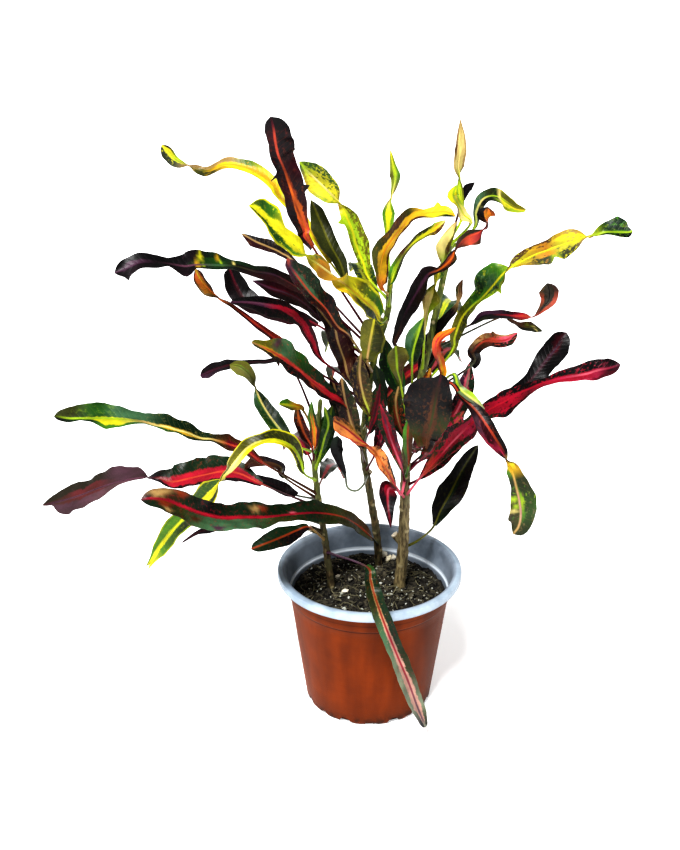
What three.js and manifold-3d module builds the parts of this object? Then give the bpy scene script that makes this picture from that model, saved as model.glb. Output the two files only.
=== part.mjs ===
// A croton in its nursery pot: a thin plastic pot, a plug of potting soil, and three leafy stems.
// Millimetres, +Z up. The origin is the middle of the pot's flat base, and -Y faces the viewer.
import * as THREE from "three";
import { mergeVertices } from "three/addons/utils/BufferGeometryUtils.js";
import Module from "manifold-3d";

const wasm = await Module();
wasm.setup();

// Pot
const rimRadius = 75;
const potHeight = 120;
const baseRadius = 52;
const wall = 1.2;
const floorThickness = 1.6;
const cornerHeight = 5; // where the inside corner of the floor meets the wall
const rimBand = 6.5; // height of the rolled lip
const lipOverhang = 6.5; // how far the lip stands out from the wall under it
const stepHeight = 98; // the stacking step that runs round the wall
const stepWidth = 1.4;
const potSides = 48;
const notchCount = 8; // drain notches round the bottom edge
const notchRadius = 5.5;

// Soil
const soilLevel = 96;
const soilRelief = 2.2;
const clearance = 0.3; // between the soil and what it touches
const soilRings = 7;
const rootDepth = 40; // how deep the stems stand in the soil

// Leaves
const bladeThickness = 0.9;
const stalkRadius = 1.3;
const bladeStep = 28; // the longest run between two sections of a plain blade
const turningStep = 16; // and of a blade that twists over
const stalkStep = 40;
const waveHeight = 0.08; // of the blade's width
const troughDepth = 0.12; // how far the midrib lies below the edges, of the width
const turnLength = 30; // length of blade that one half turn takes
const narrowest = 0.8; // least half width
const tipHalfWidth = 1;
const waveLength = 55;
const waveLag = 2.2; // angle by which one edge's waves follow the other's
const faceUp = new THREE.Vector3(0, -0.6, 0.8); // where the upper face of a plain blade looks

// Leaf points are laid out on an upright sheet through the pot's axis, as the viewer sees it:
// across, up, forward. Forward moves the point off the sheet, along its line of sight.
const viewer = new THREE.Vector3(-24, -958, 677);

// Stems run from below the soil to their growing tips.
const stemSides = 8;
const stemRows = {
  left: {
    radii: [3.4, 1.7],
    stub: { height: 148, radius: 2.8, length: 14, lean: [-0.85, -0.25, 0.5] },
    path: [[-30, 9, soilLevel - rootDepth], [-31, 8, 91], [-34, 6, 122], [-38, 4, 156], [-42, 2, 187],
      [-44, 0, 214], [-41, -2, 243], [-39, -2, 270]],
  },
  middle: {
    radii: [3.4, 2.2],
    stub: { height: 186, radius: 2.0, length: 6, lean: [0.5, -0.3, 0.8] },
    path: [[11, 45, soilLevel - rootDepth], [9, 44, 98], [7, 42, 126], [1, 36, 167], [-5, 30, 211],
      [-3, 24, 253], [4, 18, 302], [12, 14, 332], [14, 12, 362]],
  },
  right: {
    radii: [5.2, 1.8],
    stub: { height: 136, radius: 3.2, length: 12, lean: [-0.62, 0.1, 0.78] },
    path: [[24, 11, soilLevel - rootDepth], [25, 10, 91], [27, 8, 121], [28, 6, 159], [28, 4, 197],
      [29, 2, 233], [35, 0, 272], [43, 0, 309], [50, 4, 348], [56, 8, 379], [59, 10, 402]],
  },
};

// One row for each leaf: root is the height of its stalk's root on the stem, bend has the points of
// a stalk that isn't straight, and turns are the points of the path where the blade twists over,
// counted from 0. The path is its midrib from the blade's start to its tip, and each of its points
// is [across, up, forward, half width on the left, half width on the right].
const leafRows = {
  left: [
    { root: 185, path: [[-85, 214, 26, 2.3, 2.3], [-99, 225, 34, 4.5, 6.1], [-112, 230, 42, 6, 7.5],
      [-124, 234, 50, 2.2, 3.7], [-133, 235, 54, 2.2, 5.9], [-144, 240, 60, 6.6, 8.8],
      [-151, 242, 63, 2.2, 8.7], [-160, 245, 67, 4.3, 9.4], [-167, 246, 70, 1.4, 8.7],
      [-177, 249, 74, 1.4, 5.7], [-191, 251, 80, 5.7, 9.3], [-207, 252, 84, 10.6, 12.1],
      [-217, 252, 87, 2.8, 10.6], [-226, 252, 89, 1.4, 9.9], [-235, 252, 91, 3.5, 7.7],
      [-246, 254, 93, 2.8, 3.5]] },
    { root: 172, turns: [7], path: [[-86, 195, -20, 2.4, 2.4], [-103, 204, -30, 8.2, 9.8],
      [-117, 206, -38, 9.9, 12.3], [-131, 203, -44, 9.9, 15.7], [-143, 200, -50, 9.2, 16.7],
      [-157, 197, -55, 5.9, 13.4], [-167, 200, -58, 3.4, 6.7], [-175, 201, -60, 1.3, 1.3],
      [-186, 200, -64, 11.8, 1.3], [-200, 197, -68, 16.1, 2.5], [-217, 191, -72, 17.1, 8.6],
      [-231, 185, -76, 15.5, 12], [-243, 181, -79, 13, 12.1], [-250, 179, -80, 10.4, 9.5],
      [-254, 178, -81, 7.8, 1.7], [-262, 176, -82, 2.6, 0.9]] },
    { root: 198, turns: [8], path: [[-52, 204, 30, 1.2, 1.2], [-55, 216, 38, 5.3, 2.3],
      [-61, 227, 46, 6, 7.5], [-72, 233, 53, 4.4, 9.6], [-83, 233, 58, 2.6, 6.6],
      [-95, 228, 60, 3.7, 6.6], [-103, 219, 60, 3.7, 5.9], [-110, 209, 60, 3.3, 4.4],
      [-118, 199, 52, 1.5, 1.5], [-129, 185, 46, 12.9, 6.8], [-144, 170, 42, 12.3, 9.2],
      [-159, 153, 42, 10, 6.9], [-171, 136, 42, 7, 6.2], [-182, 118, 42, 2.3, 2]] },
    { root: 180, path: [[-59, 185, -40, 2.5, 3.3], [-69, 190, -50, 5, 5.9], [-80, 196, -60, 5.1, 5.1],
      [-90, 200, -70, 3.4, 3.4], [-100, 201, -78, 0.9, 0.9]] },
    { root: 223, turns: [4], path: [[-62, 230, -30, 4, 4], [-69, 240, -38, 7.3, 5.7],
      [-78, 253, -46, 6.5, 8.1], [-85, 266, -54, 6.5, 5.7], [-89, 278, -58, 1.2, 1.6],
      [-93, 288, -62, 4.9, 4.1], [-100, 295, -66, 8.2, 6.5], [-108, 297, -70, 4.9, 4.1]] },
    { root: 245, path: [[-62, 296, -60, 2.4, 3.2], [-83, 299, -80, 2.5, 2.5],
      [-99, 298, -92, 2.1, 2.5], [-110, 296, -98, 5.1, 5.1], [-122, 292, -106, 8.5, 7.6],
      [-131, 288, -110, 3.4, 4.3]] },
    { root: 236, path: [[-52, 258, 22, 1.9, 2.3], [-58, 262, 28, 3, 3], [-64, 263, 34, 5.2, 5.2],
      [-71, 264, 39, 2.2, 3]] },
    { root: 142, path: [[-49, 156, 26, 2.4, 2.4], [-59, 153, 34, 6.2, 4.7], [-69, 148, 44, 9.3, 7.7],
      [-82, 142, 54, 8.4, 7.6], [-96, 136, 60, 3, 3]] },
    { root: 157, path: [[-86, 174, -60, 4.3, 4.3], [-104, 166, -76, 6.9, 6.9],
      [-125, 156, -86, 5.3, 5.3], [-139, 151, -92, 1.8, 1.8], [-152, 142, -98, 0.7, 0.7]] },
    { root: 223, path: [[-44, 227, 22, 1.5, 1.5], [-44, 240, 28, 3.8, 3.8], [-46, 254, 34, 3, 3],
      [-46, 266, 38, 0.7, 0.7]] },
    { root: 225, path: [[-40, 237, -34, 2.4, 2.4], [-36, 251, -72, 8.4, 8.4],
      [-33, 251, -106, 8.6, 8.6], [-30, 239, -134, 0.9, 0.9]] },
    { root: 207, path: [[-49, 221, -34, 2.4, 2.4], [-57, 234, -66, 8.4, 8.4],
      [-63, 235, -98, 7.8, 7.8], [-68, 225, -126, 0.9, 0.9]] },
    { root: 189, path: [[-38, 200, -34, 2.5, 2.5], [-32, 211, -72, 8.5, 7.6],
      [-26, 211, -106, 8.8, 7.9], [-21, 200, -132, 0.9, 0.9]] },
    { root: 180, path: [[-68, 201, -10, 1.6, 1.6], [-71, 210, -16, 4, 4], [-81, 214, -24, 3.2, 4],
      [-92, 214, -30, 5.7, 5.7], [-101, 209, -36, 1.2, 1.2]] },
    { root: 207, path: [[-39, 223, 8, 1.2, 1.2], [-36, 235, 14, 4.6, 4.6], [-33, 247, 18, 4.6, 4.6],
      [-36, 262, 20, 0.8, 0.8]] },
    { root: 130, path: [[-3, 120, 62, 2.3, 2.3], [1, 107, 74, 5.3, 4.5], [4, 94, 84, 6, 6],
      [10, 74, 89, 6, 6.8], [17, 53, 91, 6.8, 6.1], [25, 31, 89, 6.9, 6.9], [34, 7, 85, 6.2, 7.8],
      [42, -18, 78, 6.3, 6.3], [50, -40, 69, 2.4, 2.4]] },
    { root: 213, path: [[-46, 227, 4, 1.2, 1.2], [-52, 239, 8, 4.6, 4.6], [-56, 252, 12, 4.6, 3.8],
      [-57, 264, 14, 0.8, 0.8]] },
    { root: 207, path: [[-41, 214, 0, 1.2, 1.2], [-37, 230, 2, 6.3, 6.3], [-33, 247, 2, 7, 7],
      [-30, 263, 0, 1.2, 1.2]] },
  ],
  middle: [
    { root: 319, turns: [8], path: [[-31, 378, -50, 1.6, 1.6], [-50, 409, -66, 3.9, 3.9],
      [-67, 427, -76, 3.1, 3.1], [-71, 436, -79, 5.5, 4.7], [-80, 444, -84, 5.5, 5.5],
      [-91, 449, -88, 4.7, 5.5], [-106, 451, -93, 5.5, 6.3], [-119, 446, -98, 6.3, 4.7],
      [-131, 450, -104, 1.6, 2], [-141, 454, -107, 3.2, 5.6], [-147, 461, -110, 4.8, 6.4],
      [-151, 465, -112, 3.2, 3.2]] },
    { root: 306, path: [[-44, 390, 22, 3.6, 2.2], [-49, 403, 24, 7.8, 2.9], [-55, 418, 28, 8.5, 7.1],
      [-59, 431, 30, 6.3, 9.1], [-64, 447, 31, 9, 10.4], [-68, 457, 34, 6.2, 13.1],
      [-70, 467, 36, 4.8, 12.3], [-71, 476, 38, 6.8, 10.2], [-73, 485, 39, 4.7, 5.4]] },
    { root: 344, turns: [5], path: [[-2, 365, -22, 1.5, 1.5], [-7, 378, -25, 3.8, 6.1],
      [-12, 391, -28, 3.8, 9.8], [-15, 402, -31, 3.8, 8.3], [-19, 412, -33, 4.5, 7.5],
      [-23, 421, -35, 3, 3], [-31, 430, -38, 9.8, 9], [-41, 440, -42, 13.5, 9],
      [-48, 447, -45, 11.3, 4.5], [-53, 453, -47, 3.8, 1.5]] },
    { root: 330, turns: [3.8, 6], path: [[7, 331, 0, 2.3, 2.3], [2, 340, 7, 9.7, 10.4],
      [-8, 350, 15, 14, 14], [-18, 359, 22, 10.2, 10.2], [-28, 367, 30, 3.6, 5],
      [-38, 375, 36, 12.1, 7.1], [-47, 382, 42, 2.1, 2.1], [-56, 392, 46, 11.2, 5.6],
      [-66, 402, 49, 12.5, 3.5], [-76, 411, 51, 6.2, 10.3], [-84, 418, 52, 4.8, 8.9],
      [-90, 421, 53, 2.1, 2.1]] },
    { root: 326, path: [[-19, 355, -34, 1.5, 1.5], [-20, 365, -38, 2.3, 2.3],
      [-24, 378, -43, 5.4, 5.4], [-31, 391, -48, 8.5, 6.2], [-37, 406, -56, 9.3, 6.2],
      [-42, 418, -62, 4.6, 4.6], [-45, 425, -66, 0.8, 0.8]] },
    { root: 302, path: [[-54, 374, -80, 1.6, 1.6], [-67, 385, -96, 4.1, 4.1],
      [-77, 390, -106, 4.9, 6.5], [-86, 394, -114, 6.6, 4.1], [-96, 400, -122, 0.8, 0.8]] },
    { root: 300, path: [[-40, 349, 8, 3, 3], [-55, 358, 16, 5.9, 6.6], [-72, 368, 26, 6.5, 5.1],
      [-87, 371, 33, 7.2, 4.3], [-101, 375, 38, 5, 5], [-116, 376, 46, 4.2, 9.9],
      [-131, 376, 52, 2.8, 10.5], [-139, 375, 55, 10.5, 9.1], [-151, 377, 58, 2.8, 4.2],
      [-159, 378, 62, 5.5, 6.9], [-172, 378, 66, 5.5, 6.9], [-183, 373, 69, 6.9, 6.2],
      [-191, 370, 71, 3.4, 2.7]] },
    { root: 256, turns: [6], path: [[-41, 291, -2, 1.5, 1.5], [-54, 302, 6, 2.3, 2.3],
      [-71, 316, 12, 3.7, 3.7], [-83, 326, 18, 3.7, 3], [-95, 336, 22, 2.2, 2.2],
      [-106, 345, 26, 1.5, 1.5], [-114, 350, 28, 0.9, 0.9], [-122, 358, 31, 4.3, 5.8],
      [-128, 366, 33, 4.3, 5.7], [-131, 373, 34, 2.1, 1.4]] },
    { root: 292, path: [[-41, 329, -30, 2.3, 2.3], [-58, 335, -44, 7.9, 7.1], [-78, 340, -62, 8.8, 8],
      [-94, 349, -74, 9.7, 8.9], [-101, 360, -80, 9.7, 8.1], [-106, 374, -84, 5.6, 5.6]] },
    { root: 265, path: [[-36, 299, 10, 1.5, 1.5], [-45, 316, 18, 3.7, 3.7], [-53, 331, 24, 6.6, 5.9],
      [-63, 340, 30, 10.2, 6.5], [-78, 345, 38, 11.5, 5.8], [-93, 347, 44, 7.9, 4.3],
      [-106, 347, 48, 1.4, 2.1]] },
    { root: 284, path: [[-16, 319, 26, 1.5, 1.5], [-26, 328, 32, 3.6, 4.4], [-35, 342, 40, 6.5, 10.8],
      [-46, 354, 46, 7.1, 12.1], [-54, 365, 52, 7, 10.5], [-61, 375, 56, 4.9, 5.6],
      [-63, 381, 58, 2.1, 2.8]] },
    { root: 357, turns: [3], path: [[11, 395, -16, 1.1, 1.1], [11, 406, -17, 3, 3.7],
      [11, 416, -18, 4.4, 5.2], [13, 427, -19, 1.1, 1.1], [15, 435, -20, 2.2, 2.2],
      [16, 443, -20, 3.7, 4.4], [14, 451, -21, 2.2, 2.2], [12, 461, -22, 0.6, 0.6]] },
    { root: 348, path: [[8, 358, 6, 3, 3], [6, 371, 10, 3.7, 5.9], [8, 384, 14, 8.7, 5.1],
      [14, 395, 19, 7.9, 6.5], [21, 404, 24, 7.8, 5.7], [28, 412, 29, 7.1, 4.9],
      [37, 415, 34, 2.8, 3.5], [47, 416, 38, 5.6, 5.6], [54, 416, 41, 4.2, 5.6],
      [60, 413, 43, 1, 1.4]] },
    { root: 339, path: [[14, 361, 20, 1.5, 1.5], [17, 372, 26, 4.3, 3.6], [23, 384, 33, 3.6, 2.8],
      [30, 393, 40, 3.5, 3.5], [39, 400, 46, 3.5, 3.5], [46, 404, 52, 4.1, 6.2],
      [53, 410, 56, 1, 1.4]] },
    { root: 215, path: [[-19, 261, 20, 1.9, 1.9], [-33, 273, 32, 6, 6], [-45, 283, 42, 10.3, 9.5],
      [-56, 293, 52, 11.6, 14.5], [-68, 302, 62, 7.8, 15], [-79, 309, 72, 6.3, 7],
      [-91, 315, 80, 2.8, 2.8]] },
    { root: 277, path: [[-15, 307, -54, 2.4, 2.4], [-28, 329, -80, 7.3, 7.3],
      [-40, 344, -100, 7.4, 7.4], [-54, 355, -116, 0.8, 0.8]] },
    { root: 283, path: [[-3, 299, 40, 1.5, 1.5], [-2, 311, 45, 5.8, 10.1], [0, 323, 50, 8.6, 12.2],
      [2, 334, 54, 6.4, 6.4]] },
    { root: 293, path: [[-15, 313, -74, 2.5, 2.5], [-24, 325, -112, 9.3, 8.4],
      [-30, 323, -150, 9.6, 8.7], [-35, 307, -180, 0.9, 0.9]] },
    { root: 258, path: [[-12, 278, -64, 2.5, 2.5], [-21, 293, -102, 8.5, 8.5],
      [-27, 294, -140, 8.8, 8.8], [-32, 278, -168, 0.9, 0.9]] },
    { root: 230, path: [[2, 256, -60, 2.5, 2.5], [11, 269, -98, 8.5, 8.5], [18, 271, -134, 8.8, 7.9],
      [23, 256, -162, 0.9, 0.9]] },
    { root: 331, path: [[4, 349, -50, 2.4, 2.4], [-5, 369, -88, 8.1, 7.3], [-11, 378, -124, 8.3, 7.5],
      [-16, 371, -154, 0.9, 0.9]] },
    { root: 239, path: [[10, 268, -58, 2.5, 2.5], [24, 284, -82, 7.5, 7.5], [40, 299, -102, 7.6, 7.6],
      [56, 317, -120, 0.9, 0.9]] },
    { root: 116, path: [[2, 146, -22, 2.5, 2.5], [-10, 158, -14, 6.5, 5.7], [-24, 166, -2, 9.7, 8],
      [-42, 169, 10, 9.5, 9.5], [-60, 168, 24, 7.8, 9.4], [-76, 166, 36, 6.2, 10],
      [-90, 165, 46, 10.7, 11.5], [-104, 165, 56, 12.1, 11.3], [-120, 165, 64, 12.7, 11.2],
      [-136, 169, 71, 13.4, 9.7], [-150, 175, 77, 11.8, 10.3], [-164, 181, 81, 11, 9.5],
      [-176, 182, 84, 6.6, 6.6], [-183, 181, 85, 2.2, 2.2]] },
    { root: 186, bend: [[-5, 195, 4], [-11, 189, 8], [-18, 192, 10]], path: [[-20, 204, 12, 1.2, 1.2],
      [-24, 214, 13, 3.1, 3.1], [-27, 226, 15, 4.6, 5.4], [-26, 237, 17, 3.1, 4.6]] },
    { root: 283, path: [[-38, 333, -8, 2.3, 2.3], [-52, 347, 0, 7.5, 6.7], [-64, 354, 6, 8.2, 7.4],
      [-76, 358, 10, 6.6, 6.6], [-89, 364, 14, 0.7, 0.7]] },
    { root: 259, path: [[-14, 284, -12, 2.3, 2.3], [-18, 299, -8, 6.9, 6.9], [-24, 315, -4, 9.9, 9.9],
      [-32, 330, 0, 8.3, 8.3], [-42, 344, 4, 1.5, 1.5]] },
    { root: 250, path: [[-3, 269, -24, 1.6, 1.6], [-6, 283, -20, 5.5, 4.7], [-7, 297, -16, 5.4, 6.2],
      [-4, 311, -12, 0.8, 0.8]] },
    { root: 247, path: [[9, 264, -6, 1.6, 1.6], [8, 275, 0, 4.6, 4.6], [5, 287, 6, 5.3, 5.3],
      [3, 297, 10, 0.8, 0.8]] },
    { root: 215, path: [[-2, 239, 8, 1.2, 1.2], [2, 251, 13, 6.9, 6.1], [5, 266, 17, 8.3, 7.6],
      [7, 281, 19, 1.5, 1.5]] },
    { root: 265, path: [[-16, 284, 14, 1.1, 1.1], [-21, 301, 20, 7.5, 6.7], [-26, 317, 25, 7.4, 6.6],
      [-28, 331, 28, 1.1, 1.1]] },
    { root: 209, path: [[-14, 237, -10, 1.2, 1.2], [-21, 254, -16, 7.1, 7.1],
      [-26, 271, -20, 7.9, 7.1], [-31, 288, -22, 1.2, 1.2]] },
    { root: 191, path: [[3, 220, -6, 1.2, 1.2], [7, 234, -12, 4.8, 4.8], [8, 247, -16, 4.7, 4.7],
      [6, 261, -18, 1.2, 1.2]] },
    { root: 199, path: [[-8, 227, 14, 1.2, 1.2], [-15, 247, 18, 6.9, 6.9], [-20, 267, 22, 8.3, 7.5],
      [-23, 286, 25, 1.5, 1.5]] },
    { root: 230, path: [[-1, 254, 22, 1.1, 1.1], [-6, 271, 27, 7.5, 6.7], [-9, 289, 31, 7.4, 6.7],
      [-8, 306, 34, 1.1, 1.1]] },
  ],
  right: [
    { root: 395, turns: [3], path: [[64, 409, -10, 1.1, 1.1], [64, 421, -12, 2.2, 2.2],
      [63, 432, -13, 2.6, 2.2], [62, 441, -14, 1.5, 1.5], [61, 450, -14, 4.4, 3.6],
      [62, 461, -14, 4.3, 4.3], [62, 471, -14, 3.2, 3.2], [61, 483, -14, 0.4, 0.4]] },
    { root: 388, path: [[71, 407, 4, 1.1, 1.1], [66, 414, 8, 5.8, 5.1], [62, 421, 12, 5, 2.9],
      [58, 428, 16, 5, 4.3], [60, 436, 19, 1.1, 2.1]] },
    { root: 389, path: [[63, 419, -30, 0.7, 0.7], [66, 428, -38, 1.5, 1.9], [68, 434, -44, 3, 3.8],
      [73, 438, -50, 0.8, 0.8]] },
    { root: 385, path: [[74, 404, -34, 1.1, 1.1], [75, 416, -42, 2.3, 3], [79, 425, -48, 5.3, 5.3],
      [85, 428, -54, 5.3, 6.9], [91, 427, -59, 6.9, 7.7], [97, 423, -63, 7, 8.5],
      [104, 419, -67, 5.4, 6.2], [111, 418, -71, 1.6, 2.3]] },
    { root: 307, turns: [8, 11], path: [[19, 312, 14, 1.5, 1.5], [21, 325, 20, 4.4, 3],
      [26, 340, 26, 4.4, 5.8], [33, 354, 32, 6.5, 8.7], [41, 368, 38, 7.1, 6.4],
      [49, 372, 42, 2.1, 2.1], [55, 377, 45, 2.8, 4.9], [59, 382, 48, 3.5, 4.9],
      [62, 389, 50, 1.3, 1.3], [70, 397, 54, 6.2, 7.6], [78, 401, 57, 9.6, 4.1],
      [83, 406, 60, 1.7, 1.4], [82, 413, 61, 6.8, 6.1], [83, 420, 62, 4.8, 6.8]] },
    { root: 291, turns: [3, 5], path: [[40, 325, 20, 0.9, 0.9], [41, 339, 24, 2.2, 2.2],
      [44, 351, 28, 6.5, 8], [47, 362, 31, 1.3, 1.3], [49, 370, 34, 4.3, 3.6],
      [51, 378, 37, 1.4, 1.4], [53, 389, 41, 6.3, 4.2], [57, 399, 45, 4.2, 3.5],
      [61, 409, 49, 1, 1]] },
    { root: 274, turns: [7, 15], path: [[60, 306, 8, 1.1, 1.5], [63, 320, 12, 3.7, 4.5],
      [68, 335, 16, 5.2, 5.9], [76, 345, 20, 6.6, 4.4], [82, 350, 23, 12.4, 2.2],
      [90, 360, 28, 14.4, 6.5], [96, 368, 32, 11.5, 5.7], [102, 374, 35, 1.1, 1.1],
      [109, 378, 38, 2.8, 9.2], [120, 384, 40, 7.8, 12], [128, 387, 41, 9.9, 9.2],
      [132, 389, 42, 5.6, 9.1], [138, 391, 42, 9.8, 11.9], [147, 394, 43, 7, 11.9],
      [154, 397, 44, 2.1, 8.4], [161, 399, 45, 1.4, 1.1], [170, 401, 46, 7.7, 2.1],
      [179, 401, 46, 11.1, 4.9], [187, 401, 46, 7, 4.9], [190, 402, 46, 2.1, 2.1]] },
    { root: 315, turns: [5], path: [[74, 329, -40, 0.8, 0.8], [84, 336, -54, 4, 4],
      [96, 337, -64, 4.8, 4.8], [108, 336, -74, 4, 4.9], [116, 336, -81, 2.4, 3.3],
      [122, 336, -85, 1, 1], [127, 342, -88, 3.3, 2.5], [132, 349, -92, 6.6, 7.4],
      [132, 356, -95, 8.2, 8.2], [130, 362, -98, 4.9, 4.1]] },
    { root: 307, path: [[96, 335, -100, 1.7, 1.7], [105, 332, -108, 2.5, 2.5],
      [112, 328, -114, 3.4, 4.2], [121, 327, -120, 5.1, 5.1], [129, 324, -126, 0.7, 0.7]] },
    { root: 266, path: [[76, 296, -24, 2.3, 3.9], [77, 307, -34, 4.7, 5.5], [84, 315, -42, 5.5, 7.1],
      [93, 316, -50, 7.2, 6.4], [102, 317, -58, 4.8, 7.2], [110, 323, -64, 0.8, 1.6]] },
    { root: 257, path: [[31, 297, 36, 1.5, 1.5], [32, 309, 43, 6.5, 6.5], [35, 321, 50, 7.9, 5.7],
      [39, 335, 56, 0.7, 0.7]] },
    { root: 241, path: [[23, 279, 30, 1.1, 1.1], [20, 291, 37, 3.7, 4.4], [19, 302, 43, 7.3, 8.7],
      [18, 312, 47, 6.5, 7.2]] },
    { root: 254, path: [[53, 284, 44, 1.1, 1.5], [53, 297, 50, 3.6, 3.6], [50, 308, 55, 3.6, 4.3],
      [52, 318, 60, 4.3, 3.5], [63, 327, 66, 0.7, 1.1]] },
    { root: 274, path: [[44, 312, -6, 1.5, 1.5], [49, 324, 0, 6, 4.5], [55, 332, 4, 4.5, 3.7],
      [61, 340, 8, 3, 3.7], [64, 347, 10, 0.7, 0.7], [65, 353, 11, 2.6, 2.6], [65, 358, 12, 2.9, 2.6],
      [67, 365, 13, 0.7, 0.7]] },
    { root: 206, path: [[83, 246, -54, 2.5, 2.5], [97, 263, -70, 5, 4.1], [111, 274, -84, 5, 5],
      [122, 284, -94, 5.9, 8.4], [131, 297, -104, 9.3, 11], [139, 309, -114, 10.2, 11.9],
      [144, 318, -121, 7.7, 8.5], [147, 323, -124, 3.4, 4.3]] },
    { root: 181, path: [[42, 204, 18, 1.1, 1.1], [55, 220, 26, 6.9, 5.4], [67, 235, 34, 9.8, 9.1],
      [77, 246, 40, 6, 11.2], [90, 258, 48, 6.6, 8.1], [103, 266, 55, 8, 13.1],
      [112, 272, 60, 5.8, 10.8], [122, 277, 65, 5, 5.7], [133, 282, 70, 3.6, 3.6],
      [148, 286, 77, 5.6, 3.5], [164, 289, 83, 8.4, 4.9], [173, 292, 87, 9, 9],
      [182, 294, 90, 7.6, 7.6], [190, 297, 92, 2.8, 4.1]] },
    { root: 247, turns: [6], path: [[57, 281, 60, 1.1, 1.1], [70, 270, 70, 2.5, 2.1],
      [82, 258, 80, 4.3, 5], [91, 245, 88, 5, 8.5], [98, 234, 92, 4.2, 7.8], [104, 224, 96, 3.5, 5.7],
      [108, 214, 99, 2.1, 2.8], [112, 207, 102, 4.2, 5.7], [116, 193, 106, 3.5, 9.9],
      [119, 181, 108, 5.7, 13.5], [121, 168, 108, 8.5, 12.1], [120, 157, 106, 8.6, 7.9],
      [116, 150, 104, 4.3, 2.9]] },
    { root: 252, path: [[60, 288, 60, 1, 1], [67, 278, 66, 2.9, 3.2], [76, 270, 72, 4.3, 3.6],
      [88, 260, 76, 0.7, 0.7]] },
    { root: 133, bend: [[38, 143, -12], [47, 151, -30]], path: [[52, 158, -40, 1.7, 1.7],
      [57, 172, -46, 8.4, 7.6], [64, 187, -55, 11, 11.8], [71, 204, -66, 7.6, 10.2],
      [78, 218, -75, 5.9, 6.8], [84, 229, -82, 1.7, 1.7]] },
    { root: 227, path: [[42, 225, 56, 1.5, 1.5], [44, 236, 60, 10.3, 8.1], [47, 249, 64, 19.6, 11.6],
      [49, 263, 67, 22.3, 13.7], [51, 276, 69, 20, 11.4], [53, 285, 70, 11.4, 6.4],
      [53, 289, 70, 4.3, 2.8]] },
    { root: 180, turns: [4], path: [[21, 192, 18, 1.6, 1.6], [16, 201, 24, 3.1, 3.9],
      [10, 212, 30, 5.4, 6.1], [4, 222, 36, 5.3, 6.1], [-1, 228, 42, 2.2, 2.2],
      [-10, 235, 48, 4.5, 5.2], [-19, 243, 56, 8.1, 5.9], [-29, 250, 64, 5.8, 5.8]] },
    { root: 202, bend: [[25, 186, 8]], path: [[21, 190, 16, 1.6, 2], [15, 191, 26, 3.9, 7],
      [14, 183, 34, 7.7, 6.2], [15, 171, 42, 3.8, 3.1], [17, 156, 48, 0.6, 0.6]] },
    { root: 193, path: [[25, 208, 14, 1.6, 1.6], [20, 222, 18, 3.9, 3.9], [15, 236, 22, 6.1, 6.1],
      [11, 250, 26, 6.8, 6.1], [7, 264, 28, 1.5, 1.5]] },
    { root: 198, path: [[30, 213, 20, 1.2, 1.2], [29, 228, 28, 3.8, 3.8], [29, 242, 34, 3.8, 4.5],
      [31, 257, 38, 0.7, 0.7]] },
    { root: 206, path: [[47, 228, -34, 2.4, 2.4], [60, 246, -52, 7.4, 7.4], [70, 266, -66, 7.4, 7.4],
      [74, 284, -76, 6.6, 5.8], [75, 299, -82, 0.8, 0.8]] },
    { root: 324, path: [[51, 335, -44, 2.4, 2.4], [56, 347, -84, 8.1, 8.1], [61, 347, -122, 8.4, 7.6],
      [66, 335, -152, 0.9, 0.9]] },
    { root: 284, path: [[45, 291, -34, 2.4, 2.4], [54, 306, -58, 8.1, 8.1], [61, 309, -80, 8.2, 7.4],
      [69, 299, -98, 0.8, 0.8]] },
    { root: 233, path: [[38, 249, -34, 2.4, 2.4], [47, 264, -72, 8.3, 8.3], [53, 269, -112, 8.6, 7.8],
      [57, 258, -146, 0.9, 0.9]] },
    { root: 210, path: [[34, 223, -34, 2.4, 2.4], [42, 235, -74, 8.4, 8.4], [48, 239, -112, 8.7, 7.8],
      [53, 228, -142, 0.9, 0.9]] },
    { root: 233, path: [[35, 242, -8, 1.2, 1.2], [43, 258, -12, 7.8, 7.8], [50, 273, -16, 8.6, 7.8],
      [54, 288, -18, 1.6, 1.6]] },
    { root: 243, path: [[32, 256, 10, 1.2, 1.2], [38, 268, 16, 4.6, 4.6], [42, 280, 20, 5.3, 4.5],
      [45, 294, 22, 1.1, 1.1]] },
    { root: 261, path: [[25, 269, -12, 1.2, 1.2], [19, 284, -18, 8.6, 7.8], [13, 301, -22, 8.6, 7.8],
      [11, 317, -24, 1.2, 1.2]] },
    { root: 279, path: [[37, 289, -8, 1.2, 1.2], [42, 303, -13, 6.9, 6.2], [46, 317, -17, 6.9, 6.2],
      [50, 330, -19, 0.8, 0.8]] },
    { root: 202, path: [[39, 216, -6, 1.2, 1.2], [50, 228, -12, 9.5, 8.7], [62, 242, -18, 9.5, 8.7],
      [72, 258, -24, 1.6, 1.6]] },
    { root: 191, path: [[39, 200, 4, 1.2, 1.2], [49, 211, 8, 7, 7], [60, 221, 12, 7, 7],
      [72, 228, 14, 1.2, 1.2]] },
    { root: 222, path: [[26, 235, -6, 1.2, 1.2], [21, 251, -10, 6.3, 6.3], [19, 266, -12, 7, 6.3],
      [21, 279, -13, 1.2, 1.2]] },
  ],
};

const materials = {
  pot: new THREE.MeshStandardMaterial({ color: "#a8461f", roughness: 0.6, metalness: 0 }),
  soil: new THREE.MeshStandardMaterial({ color: "#2b2018", roughness: 0.95, metalness: 0 }),
  left: new THREE.MeshStandardMaterial({ color: "#3f6a22", roughness: 0.4, metalness: 0 }),
  middle: new THREE.MeshStandardMaterial({ color: "#5a1a24", roughness: 0.4, metalness: 0 }),
  right: new THREE.MeshStandardMaterial({ color: "#8f8a2a", roughness: 0.4, metalness: 0 }),
};

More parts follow.
